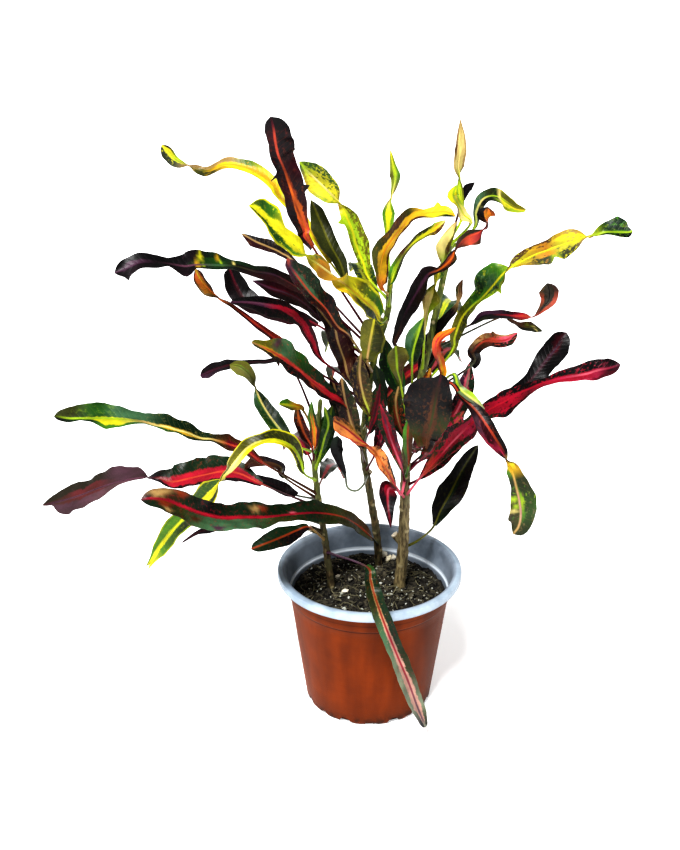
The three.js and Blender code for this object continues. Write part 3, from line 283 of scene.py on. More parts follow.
# All lengths are in millimetres. root is the height of the stalk's root on its stem. path is the
# midrib, as (across, up, forward, half width), with the right half's width last where it differs.
# bend holds points of a stalk that isn't straight. Places along a blade are numbers of points of
# its path, counted from 0: turns are where it twists over, spurs are (place, side, size), and
# spots are (place, aside from -1 to 1, radius, colour). Each look is: place, colour of the left
# edge, of the right edge where it differs, of the inside and of the midrib, and how far the
# inside's colour reaches to the left, and to the right where that differs. speckle says how much
# is speckled, margin how strongly the inside's colour edges the blade, and fork how deep the tip
# is cleft.
leafRows = {"left": [
    {"set": "green", "root": 185, "stalk": "brown",
     "path": [(-85, 214, 26, 2.3), (-99, 225, 34, 4.5, 6.1), (-112, 230, 42, 6, 7.5),
         (-124, 234, 50, 2.2, 3.7), (-133, 235, 54, 2.2, 5.9), (-144, 240, 60, 6.6, 8.8),
         (-151, 242, 63, 2.2, 8.7), (-160, 245, 67, 4.3, 9.4), (-167, 246, 70, 1.4, 8.7),
         (-177, 249, 74, 1.4, 5.7), (-191, 251, 80, 5.7, 9.3), (-207, 252, 84, 10.6, 12.1),
         (-217, 252, 87, 2.8, 10.6), (-226, 252, 89, 1.4, 9.9), (-235, 252, 91, 3.5, 7.7),
         (-246, 254, 93, 2.8, 3.5)],
     "looks": "0 brown crimson coral .6; 2 brown wine coral .5 .4; 3.4 deep gold cream .4 .1; "
         "5 deep gold cream .6 .16; 7 green deep gold cream .5 .14; 9 jade cream tan .4 .1; "
         "10.3 leaf jade lemon lime .9 .1; 11.2 leaf green lemon lime .62 .08; "
         "12 deep green lemon lime .3 .08; 13.5 deep moss leaf lime .1 .05; "
         "15 black moss moss moss .1"},
    {"set": "dark", "root": 172, "stalk": "maroon", "turns": [7],
     "path": [(-86, 195, -20, 2.4), (-103, 204, -30, 8.2, 9.8), (-117, 206, -38, 9.9, 12.3),
         (-131, 203, -44, 9.9, 15.7), (-143, 200, -50, 9.2, 16.7), (-157, 197, -55, 5.9, 13.4),
         (-167, 200, -58, 3.4, 6.7), (-175, 201, -60, 1.3), (-186, 200, -64, 11.8, 1.3),
         (-200, 197, -68, 16.1, 2.5), (-217, 191, -72, 17.1, 8.6), (-231, 185, -76, 15.5, 12),
         (-243, 181, -79, 13, 12.1), (-250, 179, -80, 10.4, 9.5), (-254, 178, -81, 7.8, 1.7),
         (-262, 176, -82, 2.6, 0.9)],
     "looks": "0 black deep crimson coral .6 .5; 3 black deep red coral .8 .42; "
         "5 black deep red coral .9 .4; 6.5 black maroon maroon .2; 7.6 plum mauve plum mauve .2; "
         "9 plum mauve plum mauve .2 .3; 10 ink mauve wine mauve .5 .3; "
         "11.5 ink plum wine mauve .45 .3; 13 ink plum maroon plum .3; "
         "15 ink black maroon maroon .2"},
    {"set": "yellow", "root": 198, "stalk": "lime", "turns": [8], "margin": 0.8, "fork": 6.66,
     "path": [(-52, 204, 30, 1.2), (-55, 216, 38, 5.3, 2.3), (-61, 227, 46, 6, 7.5),
         (-72, 233, 53, 4.4, 9.6), (-83, 233, 58, 2.6, 6.6), (-95, 228, 60, 3.7, 6.6),
         (-103, 219, 60, 3.7, 5.9), (-110, 209, 60, 3.3, 4.4), (-118, 199, 52, 1.5),
         (-129, 185, 46, 12.9, 6.8), (-144, 170, 42, 12.3, 9.2), (-159, 153, 42, 10, 6.9),
         (-171, 136, 42, 7, 6.2), (-182, 118, 42, 2.3, 2)],
     "looks": "0 moss lime lime .2; 2 moss lemon lime .5 .1; 4 lemon moss lemon lemon 1 .12; "
         "5.5 lemon olive lemon cream 1.2 .12; 7 lemon olive cream cream 1.2 .3; "
         "8.3 green deep lemon lemon .2 .6; 9.4 green deep lemon lemon .1 .5; "
         "10.5 leaf deep lime lemon .1 .2; 12 leaf lemon lemon .3 .2; "
         "13 leaf lemon lemon lemon .4 .5"},
    {"set": "dark", "root": 180, "stalk": "moss",
     "path": [(-59, 185, -40, 2.5, 3.3), (-69, 190, -50, 5, 5.9), (-80, 196, -60, 5.1),
         (-90, 200, -70, 3.4), (-100, 201, -78, 0.9)],
     "looks": "0 ink black ink black .2; 4 ink black maroon .2"},
    {"set": "green", "root": 223, "stalk": "lime", "turns": [4], "margin": 0.25,
     "path": [(-62, 230, -30, 4), (-69, 240, -38, 7.3, 5.7), (-78, 253, -46, 6.5, 8.1),
         (-85, 266, -54, 6.5, 5.7), (-89, 278, -58, 1.2, 1.6), (-93, 288, -62, 4.9, 4.1),
         (-100, 295, -66, 8.2, 6.5), (-108, 297, -70, 4.9, 4.1)],
     "looks": "0 deep leaf lime .2; 2 green deep jade cream .3 .1; "
         "3.4 jade deep leaf cream .4 .1; 4.4 moss moss moss .2; 5.5 olive leaf olive .2; "
         "7 olive lime olive .2"},
    # the plum at this blade's tip is a painted highlight
    {"set": "dark", "root": 245, "stalk": "maroon",
     "path": [(-62, 296, -60, 2.4, 3.2), (-83, 299, -80, 2.5), (-99, 298, -92, 2.1, 2.5),
         (-110, 296, -98, 5.1), (-122, 292, -106, 8.5, 7.6), (-131, 288, -110, 3.4, 4.3)],
     "looks": "0 ink black black .2; 3 black ink maroon maroon .2; "
         "5 plum black maroon plum .3 .2"},
    {"set": "yellow", "root": 236, "stalk": "tan",
     "path": [(-52, 258, 22, 1.9, 2.3), (-58, 262, 28, 3), (-64, 263, 34, 5.2),
         (-71, 264, 39, 2.2, 3)],
     "looks": "0 brown tan orange gold .5; 1 gold orange lemon .6; 2 olive leaf lime lemon .4 .3; "
         "3 olive leaf lime lime .4 .3"},
    {"set": "green", "root": 142, "stalk": "tan",
     "path": [(-49, 156, 26, 2.4), (-59, 153, 34, 6.2, 4.7), (-69, 148, 44, 9.3, 7.7),
         (-82, 142, 54, 8.4, 7.6), (-96, 136, 60, 3)],
     "looks": "0 black deep deep rust .1; 2 ink deep black rust .1; 4 deep green rust .2 .1"},
    {"set": "dark", "root": 157, "stalk": "moss",
     "path": [(-86, 174, -60, 4.3), (-104, 166, -76, 6.9), (-125, 156, -86, 5.3),
         (-139, 151, -92, 1.8), (-152, 142, -98, 0.7)],
     "looks": "0 ink black black .2; 4 black black maroon .2"},
    {"set": "green", "root": 223, "stalk": "leaf",
     "path": [(-44, 227, 22, 1.5), (-44, 240, 28, 3.8), (-46, 254, 34, 3), (-46, 266, 38, 0.7)],
     "looks": "0 brown maroon rust orange .5; 1 brown maroon orange gold .6; "
         "2.3 leaf green orange leaf .4; 3 leaf green leaf leaf .4"},
    {"set": "green", "root": 225, "stalk": "lime", "speckle": 0.5,
     "path": [(-40, 237, -34, 2.4), (-36, 251, -72, 8.4), (-33, 251, -106, 8.6),
         (-30, 239, -134, 0.9)],
     "looks": "0 deep leaf lime .3; 3 green lemon lime .4"},
    {"set": "dark", "root": 207, "stalk": "wine",
     "path": [(-49, 221, -34, 2.4), (-57, 234, -66, 8.4), (-63, 235, -98, 7.8),
         (-68, 225, -126, 0.9)],
     "looks": "0 maroon crimson red .35; 3 black crimson pink .3"},
    {"set": "green", "root": 189, "stalk": "rust",
     "path": [(-38, 200, -34, 2.5), (-32, 211, -72, 8.5, 7.6), (-26, 211, -106, 8.8, 7.9),
         (-21, 200, -132, 0.9)],
     "looks": "0 deep crimson red .3; 3 deep red coral .3"},
    {"set": "dark", "root": 180, "stalk": "brown",
     "path": [(-68, 201, -10, 1.6), (-71, 210, -16, 4), (-81, 214, -24, 3.2, 4),
         (-92, 214, -30, 5.7), (-101, 209, -36, 1.2)],
     "looks": "0 black brown moss .2; 2 brown black black brown .2; "
         "4 maroon brown brown brown .2"},
    {"set": "green", "root": 207, "stalk": "lime",
     "path": [(-39, 223, 8, 1.2), (-36, 235, 14, 4.6), (-33, 247, 18, 4.6), (-36, 262, 20, 0.8)],
     "looks": "0 deep green leaf lime .2; 2 green deep leaf lime .2; 3 leaf green leaf lime .2"},
    {"set": "green", "root": 130, "stalk": "plum", "speckle": 0.25,
     "path": [(-3, 120, 62, 2.3), (1, 107, 74, 5.3, 4.5), (4, 94, 84, 6), (10, 74, 89, 6, 6.8),
         (17, 53, 91, 6.8, 6.1), (25, 31, 89, 6.9), (34, 7, 85, 6.2, 7.8), (42, -18, 78, 6.3),
         (50, -40, 69, 2.4)],
     "looks": "0 green deep tan brown .2; 1 deep tan rust .25 .2; 2.5 deep moss tan rust .22 .25; "
         "4 deep jade blush crimson .3 .35; 5.5 moss grey blush crimson .42 .45; "
         "7 grey blush mauve .6; 7.6 moss ink blush mauve .5 .4; 8 ink grey grey .2"},
    {"set": "dark", "root": 213, "stalk": "wine", "speckle": 0.8,
     "path": [(-46, 227, 4, 1.2), (-52, 239, 8, 4.6), (-56, 252, 12, 4.6, 3.8),
         (-57, 264, 14, 0.8)],
     "looks": "0 maroon rust coral .4; 2 black maroon rust orange .3 .4; "
         "3 moss black olive moss .3"},
    {"set": "green", "root": 207, "stalk": "leaf", "speckle": 0.6,
     "path": [(-41, 214, 0, 1.2), (-37, 230, 2, 6.3), (-33, 247, 2, 7), (-30, 263, 0, 1.2)],
     "looks": "0 deep green leaf lime .3; 1.5 green deep green lime .3 .2; 3 deep green moss .2"},
], "middle": [
    {"set": "yellow", "root": 319, "stalk": "lime", "turns": [8], "speckle": 0.5,
     "path": [(-31, 378, -50, 1.6), (-50, 409, -66, 3.9), (-67, 427, -76, 3.1),
         (-71, 436, -79, 5.5, 4.7), (-80, 444, -84, 5.5), (-91, 449, -88, 4.7, 5.5),
         (-106, 451, -93, 5.5, 6.3), (-119, 446, -98, 6.3, 4.7), (-131, 450, -104, 1.6, 2),
         (-141, 454, -107, 3.2, 5.6), (-147, 461, -110, 4.8, 6.4), (-151, 465, -112, 3.2)],
     "looks": "0 lemon lemon gold .6; 4 lemon gold gold .5; 5 lemon leaf gold gold .4 .3; "
         "5.8 gold tan lemon gold .6 .4; 6.6 moss tan gold gold .2 .6; "
         "7.3 moss tan olive olive .1 .4; 8 olive tan tan tan .3 .4; "
         "9 lime deep lemon lime .5 .2; 10 black deep lemon lemon .6 .4; "
         "11 ink deep lemon lemon .2 .3"},
    {"set": "dark", "root": 306, "stalk": "wine", "spurs": [(3, 1, 6.2), (4.1, -1, 6.9)],
     "path": [(-44, 390, 22, 3.6, 2.2), (-49, 403, 24, 7.8, 2.9), (-55, 418, 28, 8.5, 7.1),
         (-59, 431, 30, 6.3, 9.1), (-64, 447, 31, 9, 10.4), (-68, 457, 34, 6.2, 13.1),
         (-70, 467, 36, 4.8, 12.3), (-71, 476, 38, 6.8, 10.2), (-73, 485, 39, 4.7, 5.4)],
     "looks": "0 maroon coral rust .5 .8; 1 black rust coral orange .4 .9; "
         "2 black maroon orange rust .25 .6; 3 maroon black rust orange .12 .25; "
         "4 black maroon rust rust .06 .08; 5 black brown coral .06; "
         "6.5 maroon black maroon coral .05; 7.4 black ink maroon wine .05; 8 ink black black .1"},
    {"set": "yellow", "root": 344, "stalk": "lime", "turns": [5], "speckle": 1,
     "spurs": [(3.9, -1, 6.8)],
     "path": [(-2, 365, -22, 1.5), (-7, 378, -25, 3.8, 6.1), (-12, 391, -28, 3.8, 9.8),
         (-15, 402, -31, 3.8, 8.3), (-19, 412, -33, 4.5, 7.5), (-23, 421, -35, 3),
         (-31, 430, -38, 9.8, 9), (-41, 440, -42, 13.5, 9), (-48, 447, -45, 11.3, 4.5),
         (-53, 453, -47, 3.8, 1.5)],
     "looks": "0 olive lime lemon .5; 2 olive lime lemon .6; 4 lime olive lime lemon .6 .5; "
         "5 gold olive lemon lemon .6; 6 green lime lemon cream .7 .9; "
         "7.3 green gold lemon cream .55 .8; 8.4 green lime lime .3 .4; "
         "9 green deep leaf lime .2 .3"},
    {"set": "yellow", "root": 330, "stalk": "lime", "turns": [3.8, 6], "margin": 0.75,
     "speckle": 0.4,
     "path": [(7, 331, 0, 2.3), (2, 340, 7, 9.7, 10.4), (-8, 350, 15, 14), (-18, 359, 22, 10.2),
         (-28, 367, 30, 3.6, 5), (-38, 375, 36, 12.1, 7.1), (-47, 382, 42, 2.1),
         (-56, 392, 46, 11.2, 5.6), (-66, 402, 49, 12.5, 3.5), (-76, 411, 51, 6.2, 10.3),
         (-84, 418, 52, 4.8, 8.9), (-90, 421, 53, 2.1)],
     "looks": "0 green leaf lemon lemon .6; 1 deep leaf lemon gold .16 .4; "
         "2.3 deep olive lemon gold .25 .3; 3 gold lemon lemon gold .6; 4 gold gold cream 1; "
         "5 olive gold amber cream .55 1; 6 lime lemon lemon lemon .8 1; "
         "7 leaf lemon lemon lemon .6 1.1; 8 green lemon lemon lemon .4 1.1; "
         "9 green leaf lemon lemon .5 .16; 10 deep green lemon lemon .6 .3; "
         "11 ink olive lime lemon .4 .6"},
    {"set": "green", "root": 326, "stalk": "olive",
     "path": [(-19, 355, -34, 1.5), (-20, 365, -38, 2.3), (-24, 378, -43, 5.4),
         (-31, 391, -48, 8.5, 6.2), (-37, 406, -56, 9.3, 6.2), (-42, 418, -62, 4.6),
         (-45, 425, -66, 0.8)],
     "looks": "0 moss moss olive .1; 6 moss moss olive .1"},
    {"set": "dark", "root": 302, "stalk": "maroon",
     "path": [(-54, 374, -80, 1.6), (-67, 385, -96, 4.1), (-77, 390, -106, 4.9, 6.5),
         (-86, 394, -114, 6.6, 4.1), (-96, 400, -122, 0.8)],
     "looks": "0 black maroon tan .1; 4 maroon ink plum tan .15 .1"},
    {"set": "dark", "root": 300, "stalk": "wine", "spurs": [(11.1, -1, 4.2)],
     "spots": [(5.72, 0.55, 2.2, "lemon"), (5.9, 0.1, 1.8, "gold"), (5.6, -0.1, 1.1, "lime"),
         (4.85, 0.6, 1.8, "gold"), (4.7, 0.2, 1.3, "lime"), (4.1, 0.3, 1.1, "cream")],
     "path": [(-40, 349, 8, 3), (-55, 358, 16, 5.9, 6.6), (-72, 368, 26, 6.5, 5.1),
         (-87, 371, 33, 7.2, 4.3), (-101, 375, 38, 5), (-116, 376, 46, 4.2, 9.9),
         (-131, 376, 52, 2.8, 10.5), (-139, 375, 55, 10.5, 9.1), (-151, 377, 58, 2.8, 4.2),
         (-159, 378, 62, 5.5, 6.9), (-172, 378, 66, 5.5, 6.9), (-183, 373, 69, 6.9, 6.2),
         (-191, 370, 71, 3.4, 2.7)],
     "looks": "0 wine maroon maroon coral .3; 2 maroon black black plum .2 .1; "
         "4 ink deep black moss .2 .5; 5 deep green jade .4 .6; 6 ink black deep mauve .2 .5; "
         "7 black ink black mauve .2; 9 ink black black .2; 10.5 black ink plum plum .2 .5; "
         "12 ink black plum .2 .3"},
    {"set": "dark", "root": 256, "stalk": "wine", "turns": [6],
     "path": [(-41, 291, -2, 1.5), (-54, 302, 6, 2.3), (-71, 316, 12, 3.7), (-83, 326, 18, 3.7, 3),
         (-95, 336, 22, 2.2), (-106, 345, 26, 1.5), (-114, 350, 28, 0.9),
         (-122, 358, 31, 4.3, 5.8), (-128, 366, 33, 4.3, 5.7), (-131, 373, 34, 2.1, 1.4)],
     "looks": "0 maroon crimson red .5; 2 maroon rust crimson coral .5; "
         "3.5 maroon wine crimson coral .6 .3; 5 black maroon maroon brown .3; "
         "6.3 brown amber orange .4; 7 brown tan amber orange .3 .8; "
         "8 maroon brown orange gold .5 .8; 9 maroon coral gold .5"},
    {"set": "dark", "root": 292, "stalk": "wine",
     "path": [(-41, 329, -30, 2.3), (-58, 335, -44, 7.9, 7.1), (-78, 340, -62, 8.8, 8),
         (-94, 349, -74, 9.7, 8.9), (-101, 360, -80, 9.7, 8.1), (-106, 374, -84, 5.6)],
     "looks": "0 maroon black maroon crimson .3 .2; 3 black ink maroon maroon .3 .1; "
         "5 ink black wine .2"},
    {"set": "dark", "root": 265, "stalk": "wine",
     "path": [(-36, 299, 10, 1.5), (-45, 316, 18, 3.7), (-53, 331, 24, 6.6, 5.9),
         (-63, 340, 30, 10.2, 6.5), (-78, 345, 38, 11.5, 5.8), (-93, 347, 44, 7.9, 4.3),
         (-106, 347, 48, 1.4, 2.1)],
     "looks": "0 maroon crimson red .5; 1.5 maroon crimson red .6 .5; "
         "2.6 black crimson crimson .5; 3.4 ink black crimson crimson .2 .4; "
         "4.3 ink plum mauve .25 .1; 6 black ink maroon plum .2"},
    {"set": "green", "root": 284, "stalk": "tan", "speckle": 0.5,
     "path": [(-16, 319, 26, 1.5), (-26, 328, 32, 3.6, 4.4), (-35, 342, 40, 6.5, 10.8),
         (-46, 354, 46, 7.1, 12.1), (-54, 365, 52, 7, 10.5), (-61, 375, 56, 4.9, 5.6),
         (-63, 381, 58, 2.1, 2.8)],
     "looks": "0 maroon deep maroon tan .2 .1; 2 maroon black deep coral .2 .1; "
         "3 black deep jade coral .2 .3; 4 maroon deep jade coral .3; "
         "5 plum deep plum mauve .4 .3; 6 mauve coral coral .5 .6"},
    {"set": "yellow", "root": 357, "stalk": "lime", "turns": [3],
     "path": [(11, 395, -16, 1.1), (11, 406, -17, 3, 3.7), (11, 416, -18, 4.4, 5.2),
         (13, 427, -19, 1.1), (15, 435, -20, 2.2), (16, 443, -20, 3.7, 4.4), (14, 451, -21, 2.2),
         (12, 461, -22, 0.6)],
     "looks": "0 lime lime lemon .5; 2 leaf lemon lemon .5 .6; 3 tan lime lime cream .5; "
         "5 leaf olive lime lime .4 .3; 7 lime lemon lemon .6"},
    {"set": "yellow", "root": 348, "stalk": "gold", "spurs": [(6.9, -1, 4.9)],
     "path": [(8, 358, 6, 3), (6, 371, 10, 3.7, 5.9), (8, 384, 14, 8.7, 5.1),
         (14, 395, 19, 7.9, 6.5), (21, 404, 24, 7.8, 5.7), (28, 412, 29, 7.1, 4.9),
         (37, 415, 34, 2.8, 3.5), (47, 416, 38, 5.6), (54, 416, 41, 4.2, 5.6),
         (60, 413, 43, 1, 1.4)],
     "looks": "0 orange brown orange coral .8 .7; 1 olive brown gold gold .5 .8; "
         "2.3 moss brown gold amber .35 .8; 4 brown gold amber .35 .8; "
         "5 moss brown gold gold .4 .7; 6 gold brown gold gold .8 .6; 7 lemon lemon gold .9 1; "
         "8 gold deep lemon gold .9 .5; 9 brown deep gold gold .4 .3"},
    {"set": "yellow", "root": 339, "stalk": "lime", "speckle": 0.5,
     "path": [(14, 361, 20, 1.5), (17, 372, 26, 4.3, 3.6), (23, 384, 33, 3.6, 2.8),
         (30, 393, 40, 3.5), (39, 400, 46, 3.5), (46, 404, 52, 4.1, 6.2), (53, 410, 56, 1, 1.4)],
     "looks": "0 leaf lime lemon .5; 1 leaf moss lime lime .6 .4; 2 brown moss brown olive .3; "
         "3 moss olive lime lemon .3 .6; 4.3 moss olive lemon lemon .4 .8; "
         "5.2 lime brown gold lemon .8 .4; 6 lime brown cream cream .6 .5"},
    {"set": "green", "root": 215, "stalk": "red", "speckle": 0.35, "spurs": [(4.6, -1, 8.7)],
     "spots": [(2.1, -0.45, 2.9, "coral"), (4.4, 0.75, 3.6, "mauve")],
     "path": [(-19, 261, 20, 1.9), (-33, 273, 32, 6), (-45, 283, 42, 10.3, 9.5),
         (-56, 293, 52, 11.6, 14.5), (-68, 302, 62, 7.8, 15), (-79, 309, 72, 6.3, 7),
         (-91, 315, 80, 2.8)],
     "looks": "0 black red coral .9; 1 black deep red red .6 .4; 2 ink deep coral red .3 .16; "
         "3 ink green red coral .2 .12; 4 ink jade coral red .2 .14; 5 ink olive gold coral .3; "
         "6 moss olive leaf tan .3"},
    {"set": "dark", "root": 277, "stalk": "wine",
     "path": [(-15, 307, -54, 2.4), (-28, 329, -80, 7.3), (-40, 344, -100, 7.4),
         (-54, 355, -116, 0.8)],
     "looks": "0 black maroon wine coral .15; 3 black maroon crimson .15"},
    {"set": "green", "root": 283, "stalk": "tan", "margin": 1,
     "path": [(-3, 299, 40, 1.5), (-2, 311, 45, 5.8, 10.1), (0, 323, 50, 8.6, 12.2),
         (2, 334, 54, 6.4)],
     "looks": "0 olive olive tan .2; 1 olive moss olive tan .2; 3 olive moss olive lemon .2"},
    {"set": "green", "root": 293, "stalk": "lime",
     "path": [(-15, 313, -74, 2.5), (-24, 325, -112, 9.3, 8.4), (-30, 323, -150, 9.6, 8.7),
         (-35, 307, -180, 0.9)],
     "looks": "0 deep leaf lime .3; 3 deep lemon lime .35"},
    {"set": "green", "root": 258, "stalk": "rust",
     "path": [(-12, 278, -64, 2.5), (-21, 293, -102, 8.5), (-27, 294, -140, 8.8),
         (-32, 278, -168, 0.9)],
     "looks": "0 deep crimson red .3; 3 deep coral red .35"},
    {"set": "dark", "root": 230, "stalk": "wine",
     "path": [(2, 256, -60, 2.5), (11, 269, -98, 8.5), (18, 271, -134, 8.8, 7.9),
         (23, 256, -162, 0.9)],
     "looks": "0 maroon crimson red .3; 3 black wine pink .25"},
    {"set": "green", "root": 331, "stalk": "lime", "speckle": 0.6,
     "path": [(4, 349, -50, 2.4), (-5, 369, -88, 8.1, 7.3), (-11, 378, -124, 8.3, 7.5),
         (-16, 371, -154, 0.9)],
     "looks": "0 green lemon lemon .5; 3 deep lime lemon .5"},
    {"set": "dark", "root": 239, "stalk": "wine",
     "path": [(10, 268, -58, 2.5), (24, 284, -82, 7.5), (40, 299, -102, 7.6),
         (56, 317, -120, 0.9)],
     "looks": "0 wine maroon red coral .4 .3; 3 deep crimson coral .35"},
    # the jade along this blade's lower edge is a painted sheen
    {"set": "green", "root": 116, "stalk": "moss", "speckle": 0.3,
     "spots": [(6.1, 0.55, 3.4, "tan"), (5.6, 0.6, 3, "rust"), (9.3, -0.5, 3, "brown"),
         (11, -0.3, 3.8, "rust"), (11.4, 0.6, 4.5, "tan"), (10.2, 0.75, 3, "rust"),
         (4.1, 0.1, 1.7, "pink"), (10.8, -0.75, 2.3, "tan"), (8.2, -0.8, 3, "plum")],
     "path": [(2, 146, -22, 2.5), (-10, 158, -14, 6.5, 5.7), (-24, 166, -2, 9.7, 8),
         (-42, 169, 10, 9.5), (-60, 168, 24, 7.8, 9.4), (-76, 166, 36, 6.2, 10),
         (-90, 165, 46, 10.7, 11.5), (-104, 165, 56, 12.1, 11.3), (-120, 165, 64, 12.7, 11.2),
         (-136, 169, 71, 13.4, 9.7), (-150, 175, 77, 11.8, 10.3), (-164, 181, 81, 11, 9.5),
         (-176, 182, 84, 6.6), (-183, 181, 85, 2.2)],
     "looks": "0 moss brown moss rust .1; 2 moss black rust .1 .05; 3.4 deep maroon crimson .12; "
         "5 moss deep crimson crimson .1 .12; 7 jade deep crimson red .14; "
         "8.6 jade ink crimson red .14; 10 moss deep crimson red .14; "
         "11.2 deep brown crimson crimson .14; 12 deep black crimson crimson .2; "
         "13 black brown maroon maroon .2"},
    {"set": "dark", "root": 186, "stalk": "grey",
     "bend": [(-5, 195, 4), (-11, 189, 8), (-18, 192, 10)],
     "path": [(-20, 204, 12, 1.2), (-24, 214, 13, 3.1), (-27, 226, 15, 4.6, 5.4),
         (-26, 237, 17, 3.1, 4.6)],
     "looks": "0 black ink ink ink .2; 2 ink black ink .1; 3 deep ink black deep .1"},
    {"set": "dark", "root": 283, "stalk": "wine",
     "path": [(-38, 333, -8, 2.3), (-52, 347, 0, 7.5, 6.7), (-64, 354, 6, 8.2, 7.4),
         (-76, 358, 10, 6.6), (-89, 364, 14, 0.7)],
     "looks": "0 maroon black maroon plum .3 .2; 2 maroon wine mauve .3; 4 black maroon plum .2"},
    {"set": "dark", "root": 259, "stalk": "brown", "speckle": 0.6,
     "path": [(-14, 284, -12, 2.3), (-18, 299, -8, 6.9), (-24, 315, -4, 9.9), (-32, 330, 0, 8.3),
         (-42, 344, 4, 1.5)],
     "looks": "0 brown maroon maroon tan .3; 2 maroon brown tan .2 .4; "
         "4 black maroon maroon tan .2"},
    {"set": "dark", "root": 250, "stalk": "brown", "speckle": 0.4,
     "path": [(-3, 269, -24, 1.6), (-6, 283, -20, 5.5, 4.7), (-7, 297, -16, 5.4, 6.2),
         (-4, 311, -12, 0.8)],
     "looks": "0 brown maroon brown tan .3; 3 maroon black brown tan .2"},
    {"set": "green", "root": 247, "stalk": "leaf",
     "path": [(9, 264, -6, 1.6), (8, 275, 0, 4.6), (5, 287, 6, 5.3), (3, 297, 10, 0.8)],
     "looks": "0 deep leaf moss .2; 3 deep green moss .2"},
    {"set": "green", "root": 215, "stalk": "moss", "speckle": 0.9,
     "path": [(-2, 239, 8, 1.2), (2, 251, 13, 6.9, 6.1), (5, 266, 17, 8.3, 7.6),
         (7, 281, 19, 1.5)],
     "looks": "0 deep black crimson wine .4; 2 green deep crimson wine .4 .3; "
         "3 deep wine wine .3"},
    {"set": "dark", "root": 265, "stalk": "brown", "speckle": 0.6,
     "path": [(-16, 284, 14, 1.1), (-21, 301, 20, 7.5, 6.7), (-26, 317, 25, 7.4, 6.6),
         (-28, 331, 28, 1.1)],
     "looks": "0 maroon brown brown tan .3; 2 black maroon maroon tan .3; 3 black maroon tan .3"},
    {"set": "dark", "root": 209, "stalk": "moss", "speckle": 0.6,
     "path": [(-14, 237, -10, 1.2), (-21, 254, -16, 7.1), (-26, 271, -20, 7.9, 7.1),
         (-31, 288, -22, 1.2)],
     "looks": "0 deep black moss moss .2; 2 black deep maroon tan .3; 3 ink black maroon tan .3"},
    {"set": "dark", "root": 191, "stalk": "wine", "speckle": 0.9,
     "path": [(3, 220, -6, 1.2), (7, 234, -12, 4.8), (8, 247, -16, 4.7), (6, 261, -18, 1.2)],
     "looks": "0 maroon black crimson wine .4; 2 black maroon rose wine .3 .4; "
         "3 black maroon wine .3"},
    {"set": "green", "root": 199, "stalk": "brown", "speckle": 0.9,
     "path": [(-8, 227, 14, 1.2), (-15, 247, 18, 6.9), (-20, 267, 22, 8.3, 7.5),
         (-23, 286, 25, 1.5)],
     "looks": "0 deep black tan brown .3; 1.5 black moss maroon tan .3; "
         "3 black deep maroon tan .3"},
    {"set": "dark", "root": 230, "stalk": "olive", "speckle": 1,
     "path": [(-1, 254, 22, 1.1), (-6, 271, 27, 7.5, 6.7), (-9, 289, 31, 7.4, 6.7),
         (-8, 306, 34, 1.1)],
     "looks": "0 maroon brown olive lime .4; 1.5 black moss brown tan .4 .3; "
         "3 black maroon olive tan .4 .3"},
], "right": [
    {"set": "yellow", "root": 395, "stalk": "lime", "turns": [3],
     "path": [(64, 409, -10, 1.1), (64, 421, -12, 2.2), (63, 432, -13, 2.6, 2.2),
         (62, 441, -14, 1.5), (61, 450, -14, 4.4, 3.6), (62, 461, -14, 4.3), (62, 471, -14, 3.2),
         (61, 483, -14, 0.4)],
     "looks": "0 lime lime lemon .5; 2 lime olive lemon lime .6 .3; 3 olive lime lime .4; "
         "4 tan sand cream sand .7 .6; 5 tan brown sand cream .75; 7 tan cream tan .5"},
    {"set": "yellow", "root": 388, "stalk": "lime",
     "path": [(71, 407, 4, 1.1), (66, 414, 8, 5.8, 5.1), (62, 421, 12, 5, 2.9),
         (58, 428, 16, 5, 4.3), (60, 436, 19, 1.1, 2.1)],
     "looks": "0 cream cream lime .8; 1 cream cream lemon .8; 2 brown lime lemon lime .6 .8; "
         "3 lemon lime lemon lime .8; 4 lime lemon lime .7"},
    {"set": "dark", "root": 389, "stalk": "maroon",
     "path": [(63, 419, -30, 0.7), (66, 428, -38, 1.5, 1.9), (68, 434, -44, 3, 3.8),
         (73, 438, -50, 0.8)],
     "looks": "0 ink black black .2; 3 ink black black .2"},
    {"set": "green", "root": 385, "stalk": "lime", "margin": 0.4,
     "path": [(74, 404, -34, 1.1), (75, 416, -42, 2.3, 3), (79, 425, -48, 5.3),
         (85, 428, -54, 5.3, 6.9), (91, 427, -59, 6.9, 7.7), (97, 423, -63, 7, 8.5),
         (104, 419, -67, 5.4, 6.2), (111, 418, -71, 1.6, 2.3)],
     "looks": "0 deep green lime .15; 2 jade ink deep cream .2 .1; 3 moss deep deep lime .2 .1; "
         "3.8 deep lime deep lime .3 .4; 4 cream cream cream .8; 4.25 olive lemon lime .2 .8; "
         "5.5 olive lime lemon olive .1 .75; 7 olive lime gold olive .1 .5"},
    {"set": "dark", "root": 307, "stalk": "maroon", "turns": [8, 11],
     "path": [(19, 312, 14, 1.5), (21, 325, 20, 4.4, 3), (26, 340, 26, 4.4, 5.8),
         (33, 354, 32, 6.5, 8.7), (41, 368, 38, 7.1, 6.4), (49, 372, 42, 2.1),
         (55, 377, 45, 2.8, 4.9), (59, 382, 48, 3.5, 4.9), (62, 389, 50, 1.3),
         (70, 397, 54, 6.2, 7.6), (78, 401, 57, 9.6, 4.1), (83, 406, 60, 1.7, 1.4),
         (82, 413, 61, 6.8, 6.1), (83, 420, 62, 4.8, 6.8)],
     "looks": "0 black maroon black brown .2 .4; 1.5 ink black black .2; "
         "3 ink black black plum .2 .3; 4 black ink plum plum .2 .3; 5.5 black brown orange .5; "
         "6.5 black ink rust orange .7 .6; 7.4 black deep rust orange .6 .3; "
         "8 black maroon maroon maroon .3; 9 rust ink coral coral 1 .3; "
